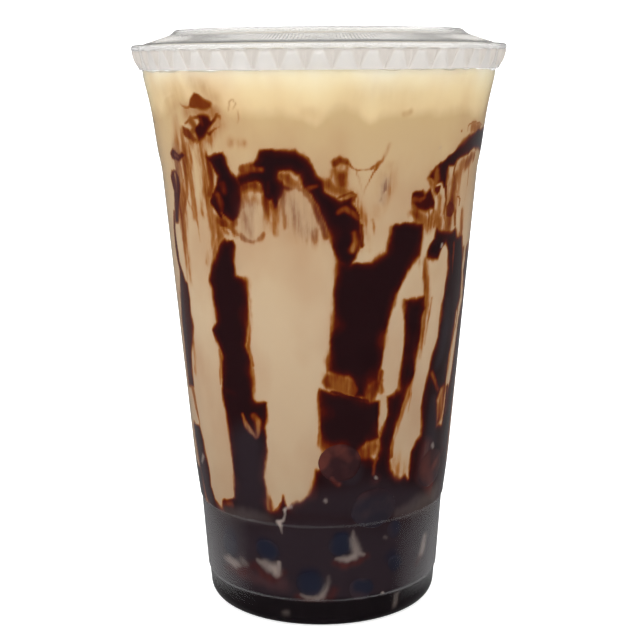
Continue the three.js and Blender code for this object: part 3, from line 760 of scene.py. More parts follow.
# Thin dark lines over all that, as the stains are given
LINES = {
    "under_window": (0.7, [
        (331, 391.5, 1.6, 0.85), (345, 395, 1.8, 0.9), (360, 399, 1.8, 0.9), (368, 401, 1.6, 0.8),
    ]),
    "beside_lower_slit": (0.8, [
        (446, 386, 2.6, 0.9), (445, 398, 3, 0.9), (443.5, 410, 3, 0.9), (441.5, 422, 3, 0.9),
    ]),
    "outline_right": (0.5, [
        (465.5, 250, 8, 0.8), (461.5, 300, 9, 0.88), (457, 350, 9, 0.9), (452.5, 400, 10, 0.92),
        (446.5, 450, 22, 0.94), (443.5, 470, 22, 0.95), (439.5, 495, 20, 0.95),
    ]),
    "swirl_tail": (0.8, [
        (191, 106.5, 1.6, 0.46), (186, 107, 1.3, 0.34), (182.5, 105.5, 1.3, 0.3), (180.5, 103, 1, 0.2),
    ]),
    "swirl_loop": (0.7, [
        (200, 116, 2, 0.66), (193.5, 118, 1.6, 0.48), (188, 121.5, 1.5, 0.46), (185.5, 123.5, 1.2, 0.3),
    ]),
    "swirl_arm_up": (0.7, [
        (210.5, 124, 1.8, 0.78), (214.5, 119, 2, 0.6), (217, 114.5, 2, 0.54), (220.5, 116, 1.6, 0.4),
        (221, 121, 1, 0.26),
    ]),
    "swirl_arm_down": (0.7, [
        (207, 133, 1.5, 0.62), (210, 134.5, 2.4, 0.6), (214.5, 130, 1.3, 0.5), (219.5, 126.5, 0.8, 0.3),
    ]),
    "swirl_stem": (0.8, [
        (201, 141, 1.6, 0.56), (200.5, 147, 1.5, 0.36), (202, 156, 1.6, 0.34), (204.5, 168, 1.7, 0.32),
        (205, 184, 1.9, 0.46), (206, 192, 2.2, 0.54), (207, 200, 1.4, 0.54), (207.5, 210, 1, 0.4),
        (207.5, 217, 0.8, 0.2),
    ]),
    "swirl_stem_left": (0.8, [
        (185.5, 143, 1.5, 0.34), (188, 151, 1.5, 0.34), (190.5, 161, 1.4, 0.3), (193, 173, 1.4, 0.3),
        (193, 186, 1.2, 0.2),
    ]),
    "left_diagonal": (0.9, [
        (184, 190, 2.6, 0.36), (190, 203, 2.8, 0.36), (196, 215, 2.4, 0.34), (199, 226, 1.4, 0.26),
        (201, 242, 1, 0.16),
    ]),
    "left_line_a": (0.9, [(184, 160, 1.4, 0.36), (185, 178, 1.4, 0.34), (183, 196, 1.2, 0.3)]),
    "left_line_b": (0.9, [(181, 225, 1.2, 0.3), (184, 240, 1.1, 0.22), (187, 258, 1, 0.14)]),
    "faint_loop": (0.9, [
        (229, 110, 0.9, 0.2), (229, 102, 0.9, 0.22), (233, 99.5, 0.9, 0.2), (236, 104, 0.9, 0.2),
        (233, 109, 0.9, 0.16),
    ]),
    "faint_line": (0.9, [(237, 109, 0.8, 0.18), (239.5, 116, 0.9, 0.22), (239, 123, 0.9, 0.2)]),
    "heart_edge": (0.8, [
        (213.5, 193, 1.2, 0.8), (212.5, 202, 1.6, 0.82), (216, 209, 1.8, 0.86), (221, 216, 2, 0.88),
    ]),
    "window_edge": (0.8, [(281, 184, 1, 0.8), (287, 187.5, 1, 0.7), (292, 189.5, 0.8, 0.5)]),
    "mass_line": (0.8, [(349, 205, 1.4, 0.84), (355, 210, 1.4, 0.78), (358.5, 217, 1.2, 0.6)]),
    "mass_edge": (0.8, [(361, 226, 2, 0.62), (362.5, 236, 2, 0.7), (362, 246, 2, 0.68)]),
    "arc_stem": (0.7, [(443, 165, 2.2, 0.84), (444.5, 175, 2, 0.84), (443.5, 186, 1.7, 0.78)]),
    "blob_line_a": (0.8, [(428.5, 206, 1.2, 0.66), (428, 226, 0.9, 0.5)]),
    "blob_line_b": (0.8, [(433.5, 204, 1, 0.6), (433, 227, 0.8, 0.46)]),
    "right_loop": (0.8, [(456, 196, 0.9, 0.46), (459, 199, 0.9, 0.44), (458, 206, 0.8, 0.4)]),
    "bubble_rim": (0.8, [
        (467, 131, 1, 0.3), (468, 124.5, 1.1, 0.38), (474, 121, 1.1, 0.4), (480, 124, 1, 0.36),
    ]),
    "line_right_a": (0.9, [(456, 160, 1.8, 0.54), (452.5, 174, 2, 0.54), (456, 192, 1.2, 0.44)]),
    "line_right_b": (0.9, [(470, 152, 1, 0.34), (467, 175, 1, 0.3), (464, 200, 0.8, 0.26)]),
    "line_right_c": (0.9, [
        (445, 186, 2, 0.7), (445, 200, 1.6, 0.6), (443.5, 214, 1.8, 0.58), (445, 228, 1.6, 0.56),
    ]),
    "stripe_three_vein": (0.9, [(413, 376, 0.9, 0.3), (411, 392, 1, 0.34), (408, 412, 0.8, 0.24)]),
    "stripe_three_top": (0.9, [(431, 298, 1.6, 0.24), (427, 322, 1.6, 0.22), (424, 344, 1.2, 0.16)]),
    "foot_drip": (0.8, [(283.5, 497, 1, 0.68), (283, 505, 1.5, 0.64), (285, 511, 1, 0.5)]),
    "dark_dot": (0.9, [(460.5, 130.5, 1.4, 0.5), (460.6, 130.6, 1.4, 0.5)]),
    "purple_dots": (0.9, [
        (386, 180, 1.8, 0.3), (385, 190, 2, 0.46), (382, 195, 1, 0.2), (379, 200, 1.8, 0.34),
    ]),
    "arch_marks": (0.9, [(288, 204, 1.6, 0.24), (299, 214, 1.4, 0.2), (307, 217, 1.4, 0.2)]),
}

# Painted over what is there, mostly where the syrup thins again and lets the milk through, and in
# dark lines along the outline: softness, then pixel, half-width and the tone put there
WINDOWS = {
    "swirl_light": (0.9, [(201, 119, 2.2, 0.68), (203, 124, 1.8, 0.74)]),
    "mark_heart": (0.9, [(176, 155.5, 2.2, 0.56), (179, 157, 1.6, 0.6)]),
    "leaf_heart": (0.9, [(176, 174.5, 1.7, 0.36), (177, 180, 1.6, 0.5), (178, 192, 1.2, 0.66)]),
    "streak_shoulder": (0.9, [(223, 184, 3.2, 0.72), (224.5, 191, 3.4, 0.68)]),
    "streak_heart": (0.8, [(218, 195, 3.2, 0.62), (221, 203, 4, 0.6), (222, 210, 2.4, 0.66)]),
    "streak_line": (0.8, [(222, 212.5, 1, 0.42), (226, 217, 1, 0.4), (229.5, 222, 0.9, 0.42)]),
    "loop_line": (0.9, [(222, 227, 1.2, 0.24), (231, 232.5, 1.6, 0.24), (240, 239, 1.4, 0.22)]),
    "arm": (0.8, [(243, 169, 3.6, 0.5), (251, 168.5, 3.4, 0.5), (261, 169.5, 3.2, 0.56)]),
    "leg_slit": (0.9, [(268.5, 181, 1.1, 0.82), (268.5, 193, 1.1, 0.8)]),
    "arch_window": (0.6, [
        (282, 176, 3.4, 0.56), (288, 179, 5, 0.52), (294, 184, 4.6, 0.48), (299, 189, 3.2, 0.42),
    ]),
    "arch_patch": (0.9, [(309, 188, 2.4, 0.62), (316, 186, 2, 0.64)]),
    "mass_patch": (0.8, [
        (338, 212, 2.6, 0.66), (345, 209, 3.2, 0.58), (352, 213, 3, 0.56), (357, 219, 2, 0.6),
    ]),
    "mass_side": (0.8, [(354, 233, 3, 0.6), (356, 242, 4, 0.48), (352, 250, 4, 0.5)]),
    "hook_light": (0.9, [(341, 168, 3, 0.3), (346, 168.5, 2.4, 0.26)]),
    "arc_amber": (0.7, [
        (436, 171, 4.4, 0.56), (436, 178, 5, 0.54), (434, 183.5, 3.6, 0.5), (429, 179, 2, 0.36),
    ]),
    "blob_heart": (0.8, [(414, 200, 3, 0.6), (420, 200, 2.4, 0.66), (424, 197, 1.6, 0.6)]),
    "blob_foot": (0.9, [(413, 206, 2.4, 0.56), (416, 210, 2.4, 0.52)]),
    "block_slot": (0.8, [(453, 243, 1.8, 0.66), (452, 256, 1.6, 0.62), (451.5, 272, 1, 0.7)]),
    "far_slit": (0.7, [(461.5, 250, 0.9, 0.34), (461, 268, 0.9, 0.3), (460, 284, 0.8, 0.4)]),
    "foot_wedge": (0.6, [
        (243, 414, 1.8, 0.36), (246.5, 424, 2.8, 0.36), (251, 431, 3, 0.44), (256, 437, 1.8, 0.56),
    ]),
    "foot_amber": (0.7, [
        (254, 416.5, 3.4, 0.56), (258, 421, 4.6, 0.5), (258, 429, 3.6, 0.5), (257, 436, 2.2, 0.58),
    ]),
    "centre_window": (0.35, [
        (330, 381, 8, 0.6), (337, 383, 9.5, 0.52), (345, 386, 9, 0.5), (352, 390, 6, 0.54),
    ]),
    "triangle": (0.7, [(362, 453, 6, 0.54), (370, 452, 6, 0.5), (374, 446, 4.4, 0.54)]),
    "stem_window": (0.6, [(376, 383, 3, 0.62), (371, 391, 6.4, 0.66), (370, 397, 5.6, 0.6)]),
    "upper_slit": (0.7, [
        (456.5, 309, 1.2, 0.5), (455, 322, 1.6, 0.42), (452, 337, 1.6, 0.34), (450, 350, 1.8, 0.26),
        (448, 364, 1.9, 0.24), (446.5, 376, 1.6, 0.26), (446, 383.5, 1, 0.4),
    ]),
    "lower_slit": (0.7, [
        (443, 389, 6, 0.56), (441.5, 398, 8, 0.52), (440, 408, 8, 0.52), (438.5, 417, 6, 0.54),
        (436.5, 422, 3, 0.64),
    ]),
    "right_foot_thin": (0.95, [(426, 446, 9, 0.76), (423, 470, 11, 0.74), (432, 488, 10, 0.76)]),
    "right_patch": (0.9, [(431, 373, 3, 0.62), (434, 381, 3, 0.6), (437, 390, 2, 0.68)]),
    "right_brown": (0.9, [(441, 450, 4, 0.6), (437, 458, 5, 0.58), (432, 466, 4, 0.66)]),
    "foot_brown": (0.8, [(226, 503, 3, 0.66), (232, 504, 4, 0.68)]),
    # The pearl's upper part, reddish and lighter: painted light on the pearl seen through the syrup
    "pearl_lit_top": (0.9, [(328, 447, 5, 0.66), (340, 450, 8, 0.66), (348, 458, 5, 0.74)]),
    "pearl_lit_spot": (0.9, [(338, 447, 2.4, 0.5), (337, 454, 2, 0.52), (345, 449, 1.6, 0.56)]),
    "pearl_amber": (0.9, [(332, 479, 2.4, 0.6), (338, 484, 2.6, 0.62)]),
    "red_streak": (0.9, [(377, 459, 1.8, 0.52), (374, 466, 2, 0.6), (373, 474, 1.8, 0.66)]),
    "patch_tail": (0.7, [
        (382.5, 398, 3.6, 0.06), (382.5, 412, 3.8, 0.06), (380, 424, 2.4, 0.1), (378, 434, 1, 0.3),
    ]),
    "pool_warm": (0.95, [(262, 578, 8, 0.84), (282, 584, 8, 0.82), (240, 572, 5, 0.84)]),
    "foot_smear": (0.9, [(241, 598, 3, 0.62), (242, 606, 2.6, 0.66)]),
}

# Places where the syrup is dull and purplish: softness, then pixel, half-width and how dull
DULL_PLACES = {
    "foot": (0.6, [(248, 446, 22, 1), (250, 480, 22, 1), (250, 520, 22, 0.9)]),
    "left_low": (0.7, [(197, 432, 9, 1), (202, 470, 10, 1), (208, 500, 9, 1)]),
    "left_middle": (0.7, [(182, 284, 7, 0.9), (186, 330, 7, 0.8), (190, 372, 5, 0.8)]),
    "left_top": (0.9, [(177, 154, 9, 0.5), (177, 190, 7, 0.5), (178, 240, 6, 0.5)]),
    "arc_end": (0.9, [(480, 138, 9, 0.9), (474, 142, 7, 0.6)]),
    "edge_right": (0.9, [
        (477, 160, 3, 0.8), (472, 205, 3, 0.8), (468, 250, 5, 0.9), (462, 300, 6, 0.9),
        (454, 380, 6, 0.9), (450, 440, 7, 1),
    ]),
    "block": (0.8, [(447, 300, 5, 0.5), (445, 325, 7, 1), (441, 350, 7, 1), (436, 366, 5, 0.7)]),
    "right_foot": (0.7, [(432, 400, 6, 0.6), (430, 440, 12, 1), (424, 475, 14, 1)]),
    "pearl": (0.6, [(340, 470, 16, 0.7), (350, 475, 14, 1)]),
    "dots": (0.9, [(386, 180, 5, 1), (380, 200, 5, 1)]),
    "under_arches": (0.95, [(294, 204, 12, 0.8), (306, 228, 14, 0.8)]),
    "first_arch": (0.95, [(250, 212, 11, 0.8), (250, 232, 11, 0.8)]),
    "pool": (0.4, [(190, 560, 48, 1), (320, 568, 62, 1), (450, 560, 48, 1)]),
    "pool_top": (0.8, [(300, 505, 14, 0.8), (370, 500, 24, 1), (410, 500, 16, 1)]),
}

# Pale milk caught at the wall beside the pearls, bubbles, and painted highlights and glints on the wall:
# softness, then pixel, half-width, amount
MILK_AND_HIGHLIGHT_PLACES = {
    "foot_right": (0.9, [(398, 513, 6, 0.08), (416, 505, 10, 0.13), (432, 495, 12, 0.15)]),
    "foot_left": (0.9, [(222, 509, 6, 0.09), (245, 514, 7, 0.1), (268, 518, 6, 0.06)]),
    "by_pearl_a": (0.8, [
        (226, 557, 3, 0.28), (231, 560, 5, 0.42), (236, 563, 5, 0.44), (240, 565, 3.6, 0.3),
    ]),
    "by_pearl_a_side": (0.9, [(243, 561, 4.6, 0.22), (246, 563, 3.6, 0.2)]),
    "by_pearl_b": (0.9, [
        (259, 560, 2.6, 0.3), (265, 563.5, 4.6, 0.4), (270, 567, 5.6, 0.54), (275, 568.5, 6, 0.62),
        (276.5, 572, 5, 0.6),
    ]),
    "by_pearl_b_side": (0.7, [(279, 563, 2.6, 0.5), (279, 574, 2.6, 0.5)]),
    "by_pearl_c": (0.95, [
        (301, 594, 1.8, 0.24), (307, 597.5, 2.4, 0.34), (314, 598.5, 2.4, 0.4), (321, 596, 3.6, 0.42),
        (325, 590, 3.2, 0.32), (328, 582, 2.6, 0.18), (328.5, 576, 1.8, 0.1),
    ]),
    "by_pearl_d": (0.9, [
        (353, 531, 1.2, 0.2), (353, 538, 3.4, 0.36), (354.5, 545, 4.4, 0.44), (356.5, 551, 4.6, 0.48),
        (354, 556, 4, 0.52), (348, 558.5, 3.4, 0.5), (341, 559.5, 2.8, 0.42), (336, 558.5, 1.8, 0.3),
    ]),
    "by_pearl_d_tip": (0.8, [(359, 553.5, 3.2, 0.44), (363.5, 554.5, 1.8, 0.3)]),
    # Painted highlights: a soft pale streak on the right of the wall, and a glint by the left outline
    "right_highlight": (0.9, [(426, 537, 4, 0.4), (424, 544, 5, 0.46), (422, 551, 5, 0.4)]),
    "edge_glint": (0.9, [(204.5, 456, 2.6, 0.6), (203, 461, 2, 0.4)]),
    "right_dot": (0.9, [(431.5, 445, 2.6, 0.6), (432, 447, 2, 0.6)]),
    "foot_oval": (0.8, [(286, 613, 4, 0.16), (287, 615, 3.6, 0.16)]),
    "foot_shine": (0.9, [(396, 594, 3.4, 0.2), (394, 606, 3.4, 0.22)]),
    "gold_a": (0.8, [
        (291, 505, 1.6, 0.7), (287, 508, 1.2, 0.5), (285, 510, 1.6, 0.9), (286, 514, 1, 0.5),
        (283, 520, 1.6, 0.6), (279, 522, 2.6, 0.9), (281, 526, 2, 0.8), (283, 533, 0.8, 0.3),
    ]),
    "dot_a": (0.8, [(441, 244.5, 1.5, 0.9), (440.5, 246, 1.3, 0.8)]),
    "dot_b": (0.8, [(375.5, 477.5, 1.6, 0.6), (376, 478, 1.4, 0.5)]),
    "dot_c": (0.8, [(325.5, 500.5, 2, 0.5), (326, 501, 1.8, 0.5)]),
    "dot_d": (0.8, [(382, 592.5, 1.3, 0.8), (382.2, 592.7, 1.2, 0.7)]),
    "dot_e": (0.9, [(384, 537, 2, 0.14), (386, 538, 1.6, 0.14)]),
    "right_milk": (0.9, [(439.5, 147, 1.8, 0.3), (439.6, 147.1, 1.8, 0.3)]),
}

# Blue-black places where a pearl touches the wall
PEARL_TOUCHES = {
    "a": (0.6, [(231, 536, 10, 0.5), (232, 547, 9, 0.6)]),
    "b": (0.5, [(265, 546, 9.5, 1), (270, 551, 10, 1)]),
    "c": (0.5, [(310, 579, 12, 1), (311, 584, 12, 1)]),
    "d": (0.45, [(341, 538, 8, 1), (341, 547, 9.5, 1)]),
    "e": (0.7, [(394, 524, 6, 0.6), (395, 529, 5.6, 0.6)]),
    "f": (0.7, [(391, 556, 8, 0.6), (395, 564, 7, 0.6)]),
    "g": (0.5, [(358, 585, 6.5, 0.9), (366, 587, 7.5, 0.9)]),
}

# Reddish syrup round the milk that is caught beside the pearls, where it isn't dull
WARM_PLACES = {
    "beside_a": (0.95, [(228, 567, 5, 0.86), (240, 571, 5, 0.84), (251, 566, 5, 0.86)]),
    "beside_b": (0.95, [
        (257, 565, 5, 0.82), (264, 573, 5, 0.78), (273, 580, 4, 0.84), (284, 572, 4, 0.86),
    ]),
    "beside_c": (0.95, [
        (298, 597, 4, 0.78), (306, 600.5, 3, 0.7), (318, 601, 3.4, 0.7), (330, 598, 5, 0.76),
        (334, 590, 5, 0.84),
    ]),
    "beside_d": (0.95, [
        (335, 562.5, 4, 0.8), (344, 565, 4.4, 0.72), (355, 562.5, 4, 0.76), (366, 556, 4, 0.82),
    ]),
    "beside_e": (0.95, [(420, 556, 5, 0.86), (416, 562, 5, 0.88)]),
}

# How low the cream hangs into the milk, along the front
CREAM_EDGE = [
    (135, 105), (165, 103), (195, 100), (215, 106), (235, 110), (262, 107), (285, 109), (303, 111),
    (316, 121), (330, 112), (345, 109), (358, 114), (370, 123), (381, 114), (396, 111), (410, 114),
    (426, 110), (448, 108), (470, 105), (492, 104),
]

# Millimetres to a pixel on the front of the cup
PIXEL = 0.247

# Radii that lengths along the wall are measured at: for waves, and the least for a stroke's reach
WAVE_RADIUS = 40
LEAST_RADIUS = 32

# Where the photograph's part ends and the sides begin, in degrees, and the height of dull syrup there
FRONT_END = 62
SIDE_FADE = 10
SIDE_DULL_TOP = 48

# Streaks and arches at the back: the angles that the streaks lie between, how many, and how soft
BACK_FROM = 88
BACK_TO = 272
BACK_STREAKS = 22
BACK_ARCHES = 7
BACK_SOFTNESS = 0.75
FRINGE_SOFTNESS = 0.9


def flat(angle, height, middle):
    """Millimetres across the wall from a middle angle."""
    return np.radians(apart(angle, middle)) * filling_radius(height)


def inside_distance(angle, height, outline):
    """Millimetres inside a closed outline on the wall, negative outside it."""
    middle = outline[:, 0].mean()
    px, pz = flat(angle, height, middle), height
    cx, cz = flat(outline[:, 0], outline[:, 1], middle), outline[:, 1]
    nearest = np.full(angle.shape, 1e9)
    inside = np.zeros(angle.shape, bool)
    for i in range(len(outline)):
        ax, az, bx, bz = cx[i - 1], cz[i - 1], cx[i], cz[i]
        dx, dz = bx - ax, bz - az
        along = np.clip(((px - ax) * dx + (pz - az) * dz) / (dx * dx + dz * dz + 1e-9), 0, 1)
        nearest = np.minimum(nearest, np.hypot(px - ax - along * dx, pz - az - along * dz))
        crosses = (az > pz) != (bz > pz)
        if dz != 0:
            inside ^= crosses & (px < ax + (pz - az) * dx / dz)
    return np.where(inside, nearest, -nearest)


def brush(angle, height, stroke, softness):
    """How much of a stroke covers each place, from 0 to 1, and the stroke's value there. The stroke is
    rows of angle, height, half-width in mm and value."""
    middle = stroke[:, 0].mean()
    px, pz = flat(angle, height, middle), height
    cx, cz = flat(stroke[:, 0], stroke[:, 1], middle), stroke[:, 1]
    cover = np.zeros(angle.shape)
    value = np.full(angle.shape, stroke[0, 3])
    for i in range(1, len(stroke)):
        dx, dz = cx[i] - cx[i - 1], cz[i] - cz[i - 1]
        along = ((px - cx[i - 1]) * dx + (pz - cz[i - 1]) * dz) / (dx * dx + dz * dz + 1e-9)
        along = np.clip(along, 0, 1)
        away = np.hypot(px - cx[i - 1] - along * dx, pz - cz[i - 1] - along * dz)
        half = stroke[i - 1, 2] + along * (stroke[i, 2] - stroke[i - 1, 2])
        share = np.clip((half * (1 + softness) - away) / (2 * half * softness), 0, 1)
        share = share * share * (3 - 2 * share)
        better = share > cover
        cover = np.where(better, share, cover)
        value = np.where(better, stroke[i - 1, 3] + along * (stroke[i, 3] - stroke[i - 1, 3]), value)
    return cover, value


def ripples(x, y, seed, size):
    """Soft random waves between about -1 and 1, size millimetres across."""
    random = np.random.default_rng(seed)
    total = np.zeros(np.shape(x))
    for _ in range(7):
        turn = random.uniform(0, 2 * math.pi)
        scale = random.uniform(0.6, 1.6) * 2 * math.pi / size
        total += np.sin(scale * (x * math.cos(turn) + y * math.sin(turn)) + random.uniform(0, 2 * math.pi))
    return total / 4


def back_strokes():
    """Streaks and arches for the side that the photograph doesn't show, in the manner of those that it
    does: the deep ones, and an amber fringe beside each streak."""
    random = np.random.default_rng(7)
    deep, fringes = [], []
    for i in range(BACK_STREAKS):
        angle = BACK_FROM + (BACK_TO - BACK_FROM) * (i + random.uniform(0.1, 0.9)) / BACK_STREAKS
        top = random.uniform(88, 132)
        bottom = random.choice([heap_top(angle, BODY_RADIUS) - 4, random.uniform(45, 75)], p=[0.75, 0.25])
        width = random.uniform(0.7, 3.8)
        stroke = []
        for step in np.linspace(0, 1, 9):
            angle += random.uniform(-2.2, 2.2)
            swell = 0.35 + 0.65 * math.sin(math.pi * min(1, 0.12 + step)) + random.uniform(-0.15, 0.3)
            stroke.append((angle, top + (bottom - top) * step, max(0.4, width * swell), 1))
        deep.append(np.array(stroke))
        fringe = np.array(stroke)
        fringe[:, 0] += random.uniform(-5, 5)
        fringe[:, 2] = fringe[:, 2] * 0.6 + 0.5
        fringe[:, 3] = random.uniform(0.2, 0.5, len(fringe))
        fringes.append(fringe)
    for _ in range(BACK_ARCHES):
        angle, height = random.uniform(90, 266), random.uniform(84, 126)
        rise, reach = random.uniform(4, 9), random.uniform(8, 16)
        half = random.uniform(1.6, 3)
        arch = []
        for t in np.linspace(-1, 1, 8):
            top = height + rise * math.sin(math.pi * (t + 1) / 2)
            arch.append((angle + reach * t, top, half * (1.15 - 0.4 * abs(t)), 1))
        deep.append(np.array(arch))
    return deep, fringes


# Tone across the edge of a deep pool, by millimetres inside it
EDGE_DISTANCE = (-0.75, -0.3, 0.0, 0.35, 0.9, 2.2)
EDGE_TONE = (0, 0.24, 0.52, 0.76, 0.92, 1)


def smooth_max(a, b):
    """The larger of two tones, a little deeper where both are much the same."""
    alike = np.maximum(1 - np.abs(a - b) / 0.3, 0)
    return np.maximum(a, b) + 0.04 * alike * np.minimum(a, b)


class Painting:
    """How places on the wall look: how deep the syrup, how dull, how pale, and where a pearl touches."""

    def __init__(self, angle, height):
        self.angle, self.height = angle, height
        across = np.radians(angle) * WAVE_RADIUS
        bend = 0.16 * ripples(across, height, 3, 5) + 0.08 * ripples(across, height, 13, 2)
        self.bent_angle = angle + np.degrees(bend / WAVE_RADIUS)
        wide_waves = 0.22 * ripples(across, height, 4, 6)
        self.bent_height = height + wide_waves + 0.08 * ripples(across, height, 14, 2.2)
        self.crispness = np.clip(1.05 + 0.55 * ripples(across, height, 21, 9), 0.4, 1.8)
        self.tone = np.zeros(angle.shape)
        self.dull = np.zeros(angle.shape)
        self.pale = np.zeros(angle.shape)
        self.touch = np.zeros(angle.shape)

    def near(self, shape, reach):
        """Where the wall is within reach of a shape's rows of angle and height."""
        low, high = shape[:, 1].min() - reach, shape[:, 1].max() + reach
        middle = shape[:, 0].mean()
        spread = np.abs(apart(shape[:, 0], middle)).max() + math.degrees(reach / LEAST_RADIUS)
        return (self.height > low) & (self.height < high) & (np.abs(apart(self.angle, middle)) < spread)

    def pool(self, deepest, outline):
        """Fills an outline with deep syrup, thinner along its edge."""
        where = self.near(outline, 1.5)
        found = inside_distance(self.bent_angle[where], self.bent_height[where], outline)
        tone = np.minimum(np.interp(found * self.crispness[where], EDGE_DISTANCE, EDGE_TONE), deepest)
        self.tone[where] = smooth_max(self.tone[where], tone)

    def stroke(self, softness, stroke):
        """The places near a stroke, how much of it covers each and its value there."""
        where = self.near(stroke, 2 * stroke[:, 2].max() + 0.5)
        return where, *brush(self.bent_angle[where], self.bent_height[where], stroke, softness)

    def darken(self, softness, stroke):
        """Adds the stroke's tone to what is there."""
        where, cover, value = self.stroke(softness, stroke)
        self.tone[where] = smooth_max(self.tone[where], cover * value)

    def repaint(self, softness, stroke):
        """Puts the stroke's tone in place of what is there."""
        where, cover, value = self.stroke(softness, stroke)
        self.tone[where] += cover * (value - self.tone[where])

    def raise_to(self, layer, softness, stroke):
        """Brings a layer up to the stroke's value."""
        where, cover, value = self.stroke(softness, stroke)
        layer[where] = np.maximum(layer[where], cover * value)

    def warm(self, softness, stroke):
        """Makes dull places less so, and deep ones a little thinner."""
        where, cover, value = self.stroke(softness, stroke)
        self.dull[where] *= 1 - 0.45 * cover
        self.tone[where] += 0.7 * cover * (np.minimum(self.tone[where], value) - self.tone[where])


def on_wall_stroke(points):
    """A stroke in pixels as rows of angle, height, half-width in mm and value."""
    return np.array([(*on_wall(x, y), half * PIXEL, value) for x, y, half, value in points])


def paint(angle, height):
    """The painting at each place of the wall: stains and the back's streaks, then the deep pools and the
    dark foot, then what lies over them."""
    painting = Painting(angle, height)
    deep, fringes = back_strokes()
    for softness, points in WASHES.values():
        painting.darken(softness, on_wall_stroke(points))
    for stroke in fringes:
        painting.darken(FRINGE_SOFTNESS, stroke)
    for stroke in deep:
        painting.darken(BACK_SOFTNESS, stroke)
    for deepest, outline in SYRUP_POOLS.values():
        painting.pool(deepest, np.array([on_wall(x, y) for x, y in outline]))
    away_from_front = np.clip((np.abs(apart(angle, 0)) - FRONT_END) / SIDE_FADE, 0, 1)
    waves = 1.4 * ripples(np.radians(angle) * WAVE_RADIUS, height * 0, 9, 9)
    level = heap_top(angle, BODY_RADIUS) + 1.2 + waves
    side_pool = np.interp(level - height, EDGE_DISTANCE, EDGE_TONE) * away_from_front
    painting.tone = np.maximum(painting.tone, side_pool)
    painting.tone = np.maximum(painting.tone, np.interp(HEAP_LEVEL - height, (0, 2), (0, 1)))
    for softness, points in WINDOWS.values():
        painting.repaint(softness, on_wall_stroke(points))
    for softness, points in LINES.values():
        painting.darken(softness, on_wall_stroke(points))
    layers = ((painting.dull, DULL_PLACES), (painting.pale, MILK_AND_HIGHLIGHT_PLACES), (painting.touch, PEARL_TOUCHES))
    for layer, places in layers:
        for softness, points in places.values():
            painting.raise_to(layer, softness, on_wall_stroke(points))
    side_dull = away_from_front * np.clip((SIDE_DULL_TOP - height) / 10, 0, 1)
    painting.dull = np.maximum(painting.dull, side_dull)
    for softness, points in WARM_PLACES.values():
        painting.warm(softness, on_wall_stroke(points))
    return painting


def cream_rise(angle, height):
    """How far the cream's colours are moved up at each place, so that they end along their edge."""
    line = np.array([on_wall(x, y) for x, y in CREAM_EDGE])
    line = line[np.argsort(line[:, 0])]
    waves = 0.9 * ripples(np.radians(angle) * WAVE_RADIUS, angle * 0, 31, 12)
    shown = np.clip((66 - np.abs(apart(angle, 0))) / 12, 0, 1)
    edge = shown * (np.interp(apart(angle, 0), line[:, 0], line[:, 1]) - CREAM_BOTTOM) + (1 - shown) * waves
    return -edge * bell(height - CREAM_BOTTOM, 7)


def put_painting(piece, angle, height, hidden, middle_tone):
    """Gives a filling's grid the painting's layers. Hidden places keep a plain tone."""
    painting = paint(apart(angle, 0), height)
    set_attribute(piece, "rise", np.concatenate([cream_rise(angle, height), [0, 0]]))
    for name, plain in (("tone", middle_tone), ("dull", 0), ("pale", 0), ("touch", 0)):
        values = getattr(painting, name)
        values[hidden] = plain
        set_attribute(piece, name, np.concatenate([values, [plain, plain]]))


# Pieces

FRONT_STEP = 0.55
BACK_STEP = 2.0
FRONT_REACH = 72
MILK_ROWS = 255
CREAM_ROWS = 30
POOL_ROWS = 112
LAP = 0.3
LAP_INSET = 0.05
CREAM_CLIMB = 0.9
FACE_RINGS = (0.985, 0.94, 0.86, 0.76, 0.63, 0.49, 0.35, 0.21, 0.08)


def filling_angles():
    """Angles round the filling in degrees, closer together where the front shows them."""
    front = np.arange(-FRONT_REACH, FRONT_REACH, FRONT_STEP)
    back = np.arange(FRONT_REACH, 360 - FRONT_REACH, BACK_STEP)
    return np.concatenate([front, back])


def filling(name, foot, edge_low, top_of, rows, middle_tone, lap=0.0):
    """A filling that reaches into the wall. Foot is its underside from the axis out, as rows of radii
    and heights, edge_low the height of its lower edge, and top_of gives its uneven top. A lap runs on
    a little past the top, just inside the next filling."""
    degrees = filling_angles()
    count = len(degrees)
    radii = [np.broadcast_to(radius, count) for radius, _ in foot]
    heights = [np.broadcast_to(height, count) for _, height in foot]
    edge_high = top_of(degrees, np.full(count, CREAM_RADIUS))
    for t in np.linspace(0, 1, rows):
        level = edge_low + (edge_high - edge_low) * t
        radii.append(filling_radius(level))
        heights.append(level)
    if lap:
        radii.append(filling_radius(edge_high) - LAP_INSET)
        heights.append(edge_high + 0.01)
    rim = radii[-1]
    for share in (1.0, *FACE_RINGS) if lap else FACE_RINGS:
        radii.append(rim * share)
        heights.append(top_of(degrees, rim * share) + lap)
    radii, heights = np.array(radii), np.array(heights)
    piece = turned(name, radii, heights, np.radians(degrees))
    hidden = np.ones(radii.shape, bool)
    hidden[len(foot):len(foot) + rows + 1] = False
    put_painting(piece, np.tile(degrees, len(radii)), heights.reshape(-1), hidden.reshape(-1), middle_tone)
    return piece


def underside(level_of, degrees):
    """Rows of an uneven underside from the axis out."""
    edge = level_of(degrees, np.full(len(degrees), MILK_RADIUS))
    rows = []
    for share in reversed(FACE_RINGS):
        radius = filling_radius(edge) * share
        rows.append((radius, level_of(degrees, radius)))
    return rows


def make_milk_tea():
    degrees = filling_angles()
    edge = heap_top(degrees, np.full(len(degrees), BODY_RADIUS))
    return filling("milk_tea_body", underside(heap_top, degrees), edge, boundary, MILK_ROWS, 0, LAP)


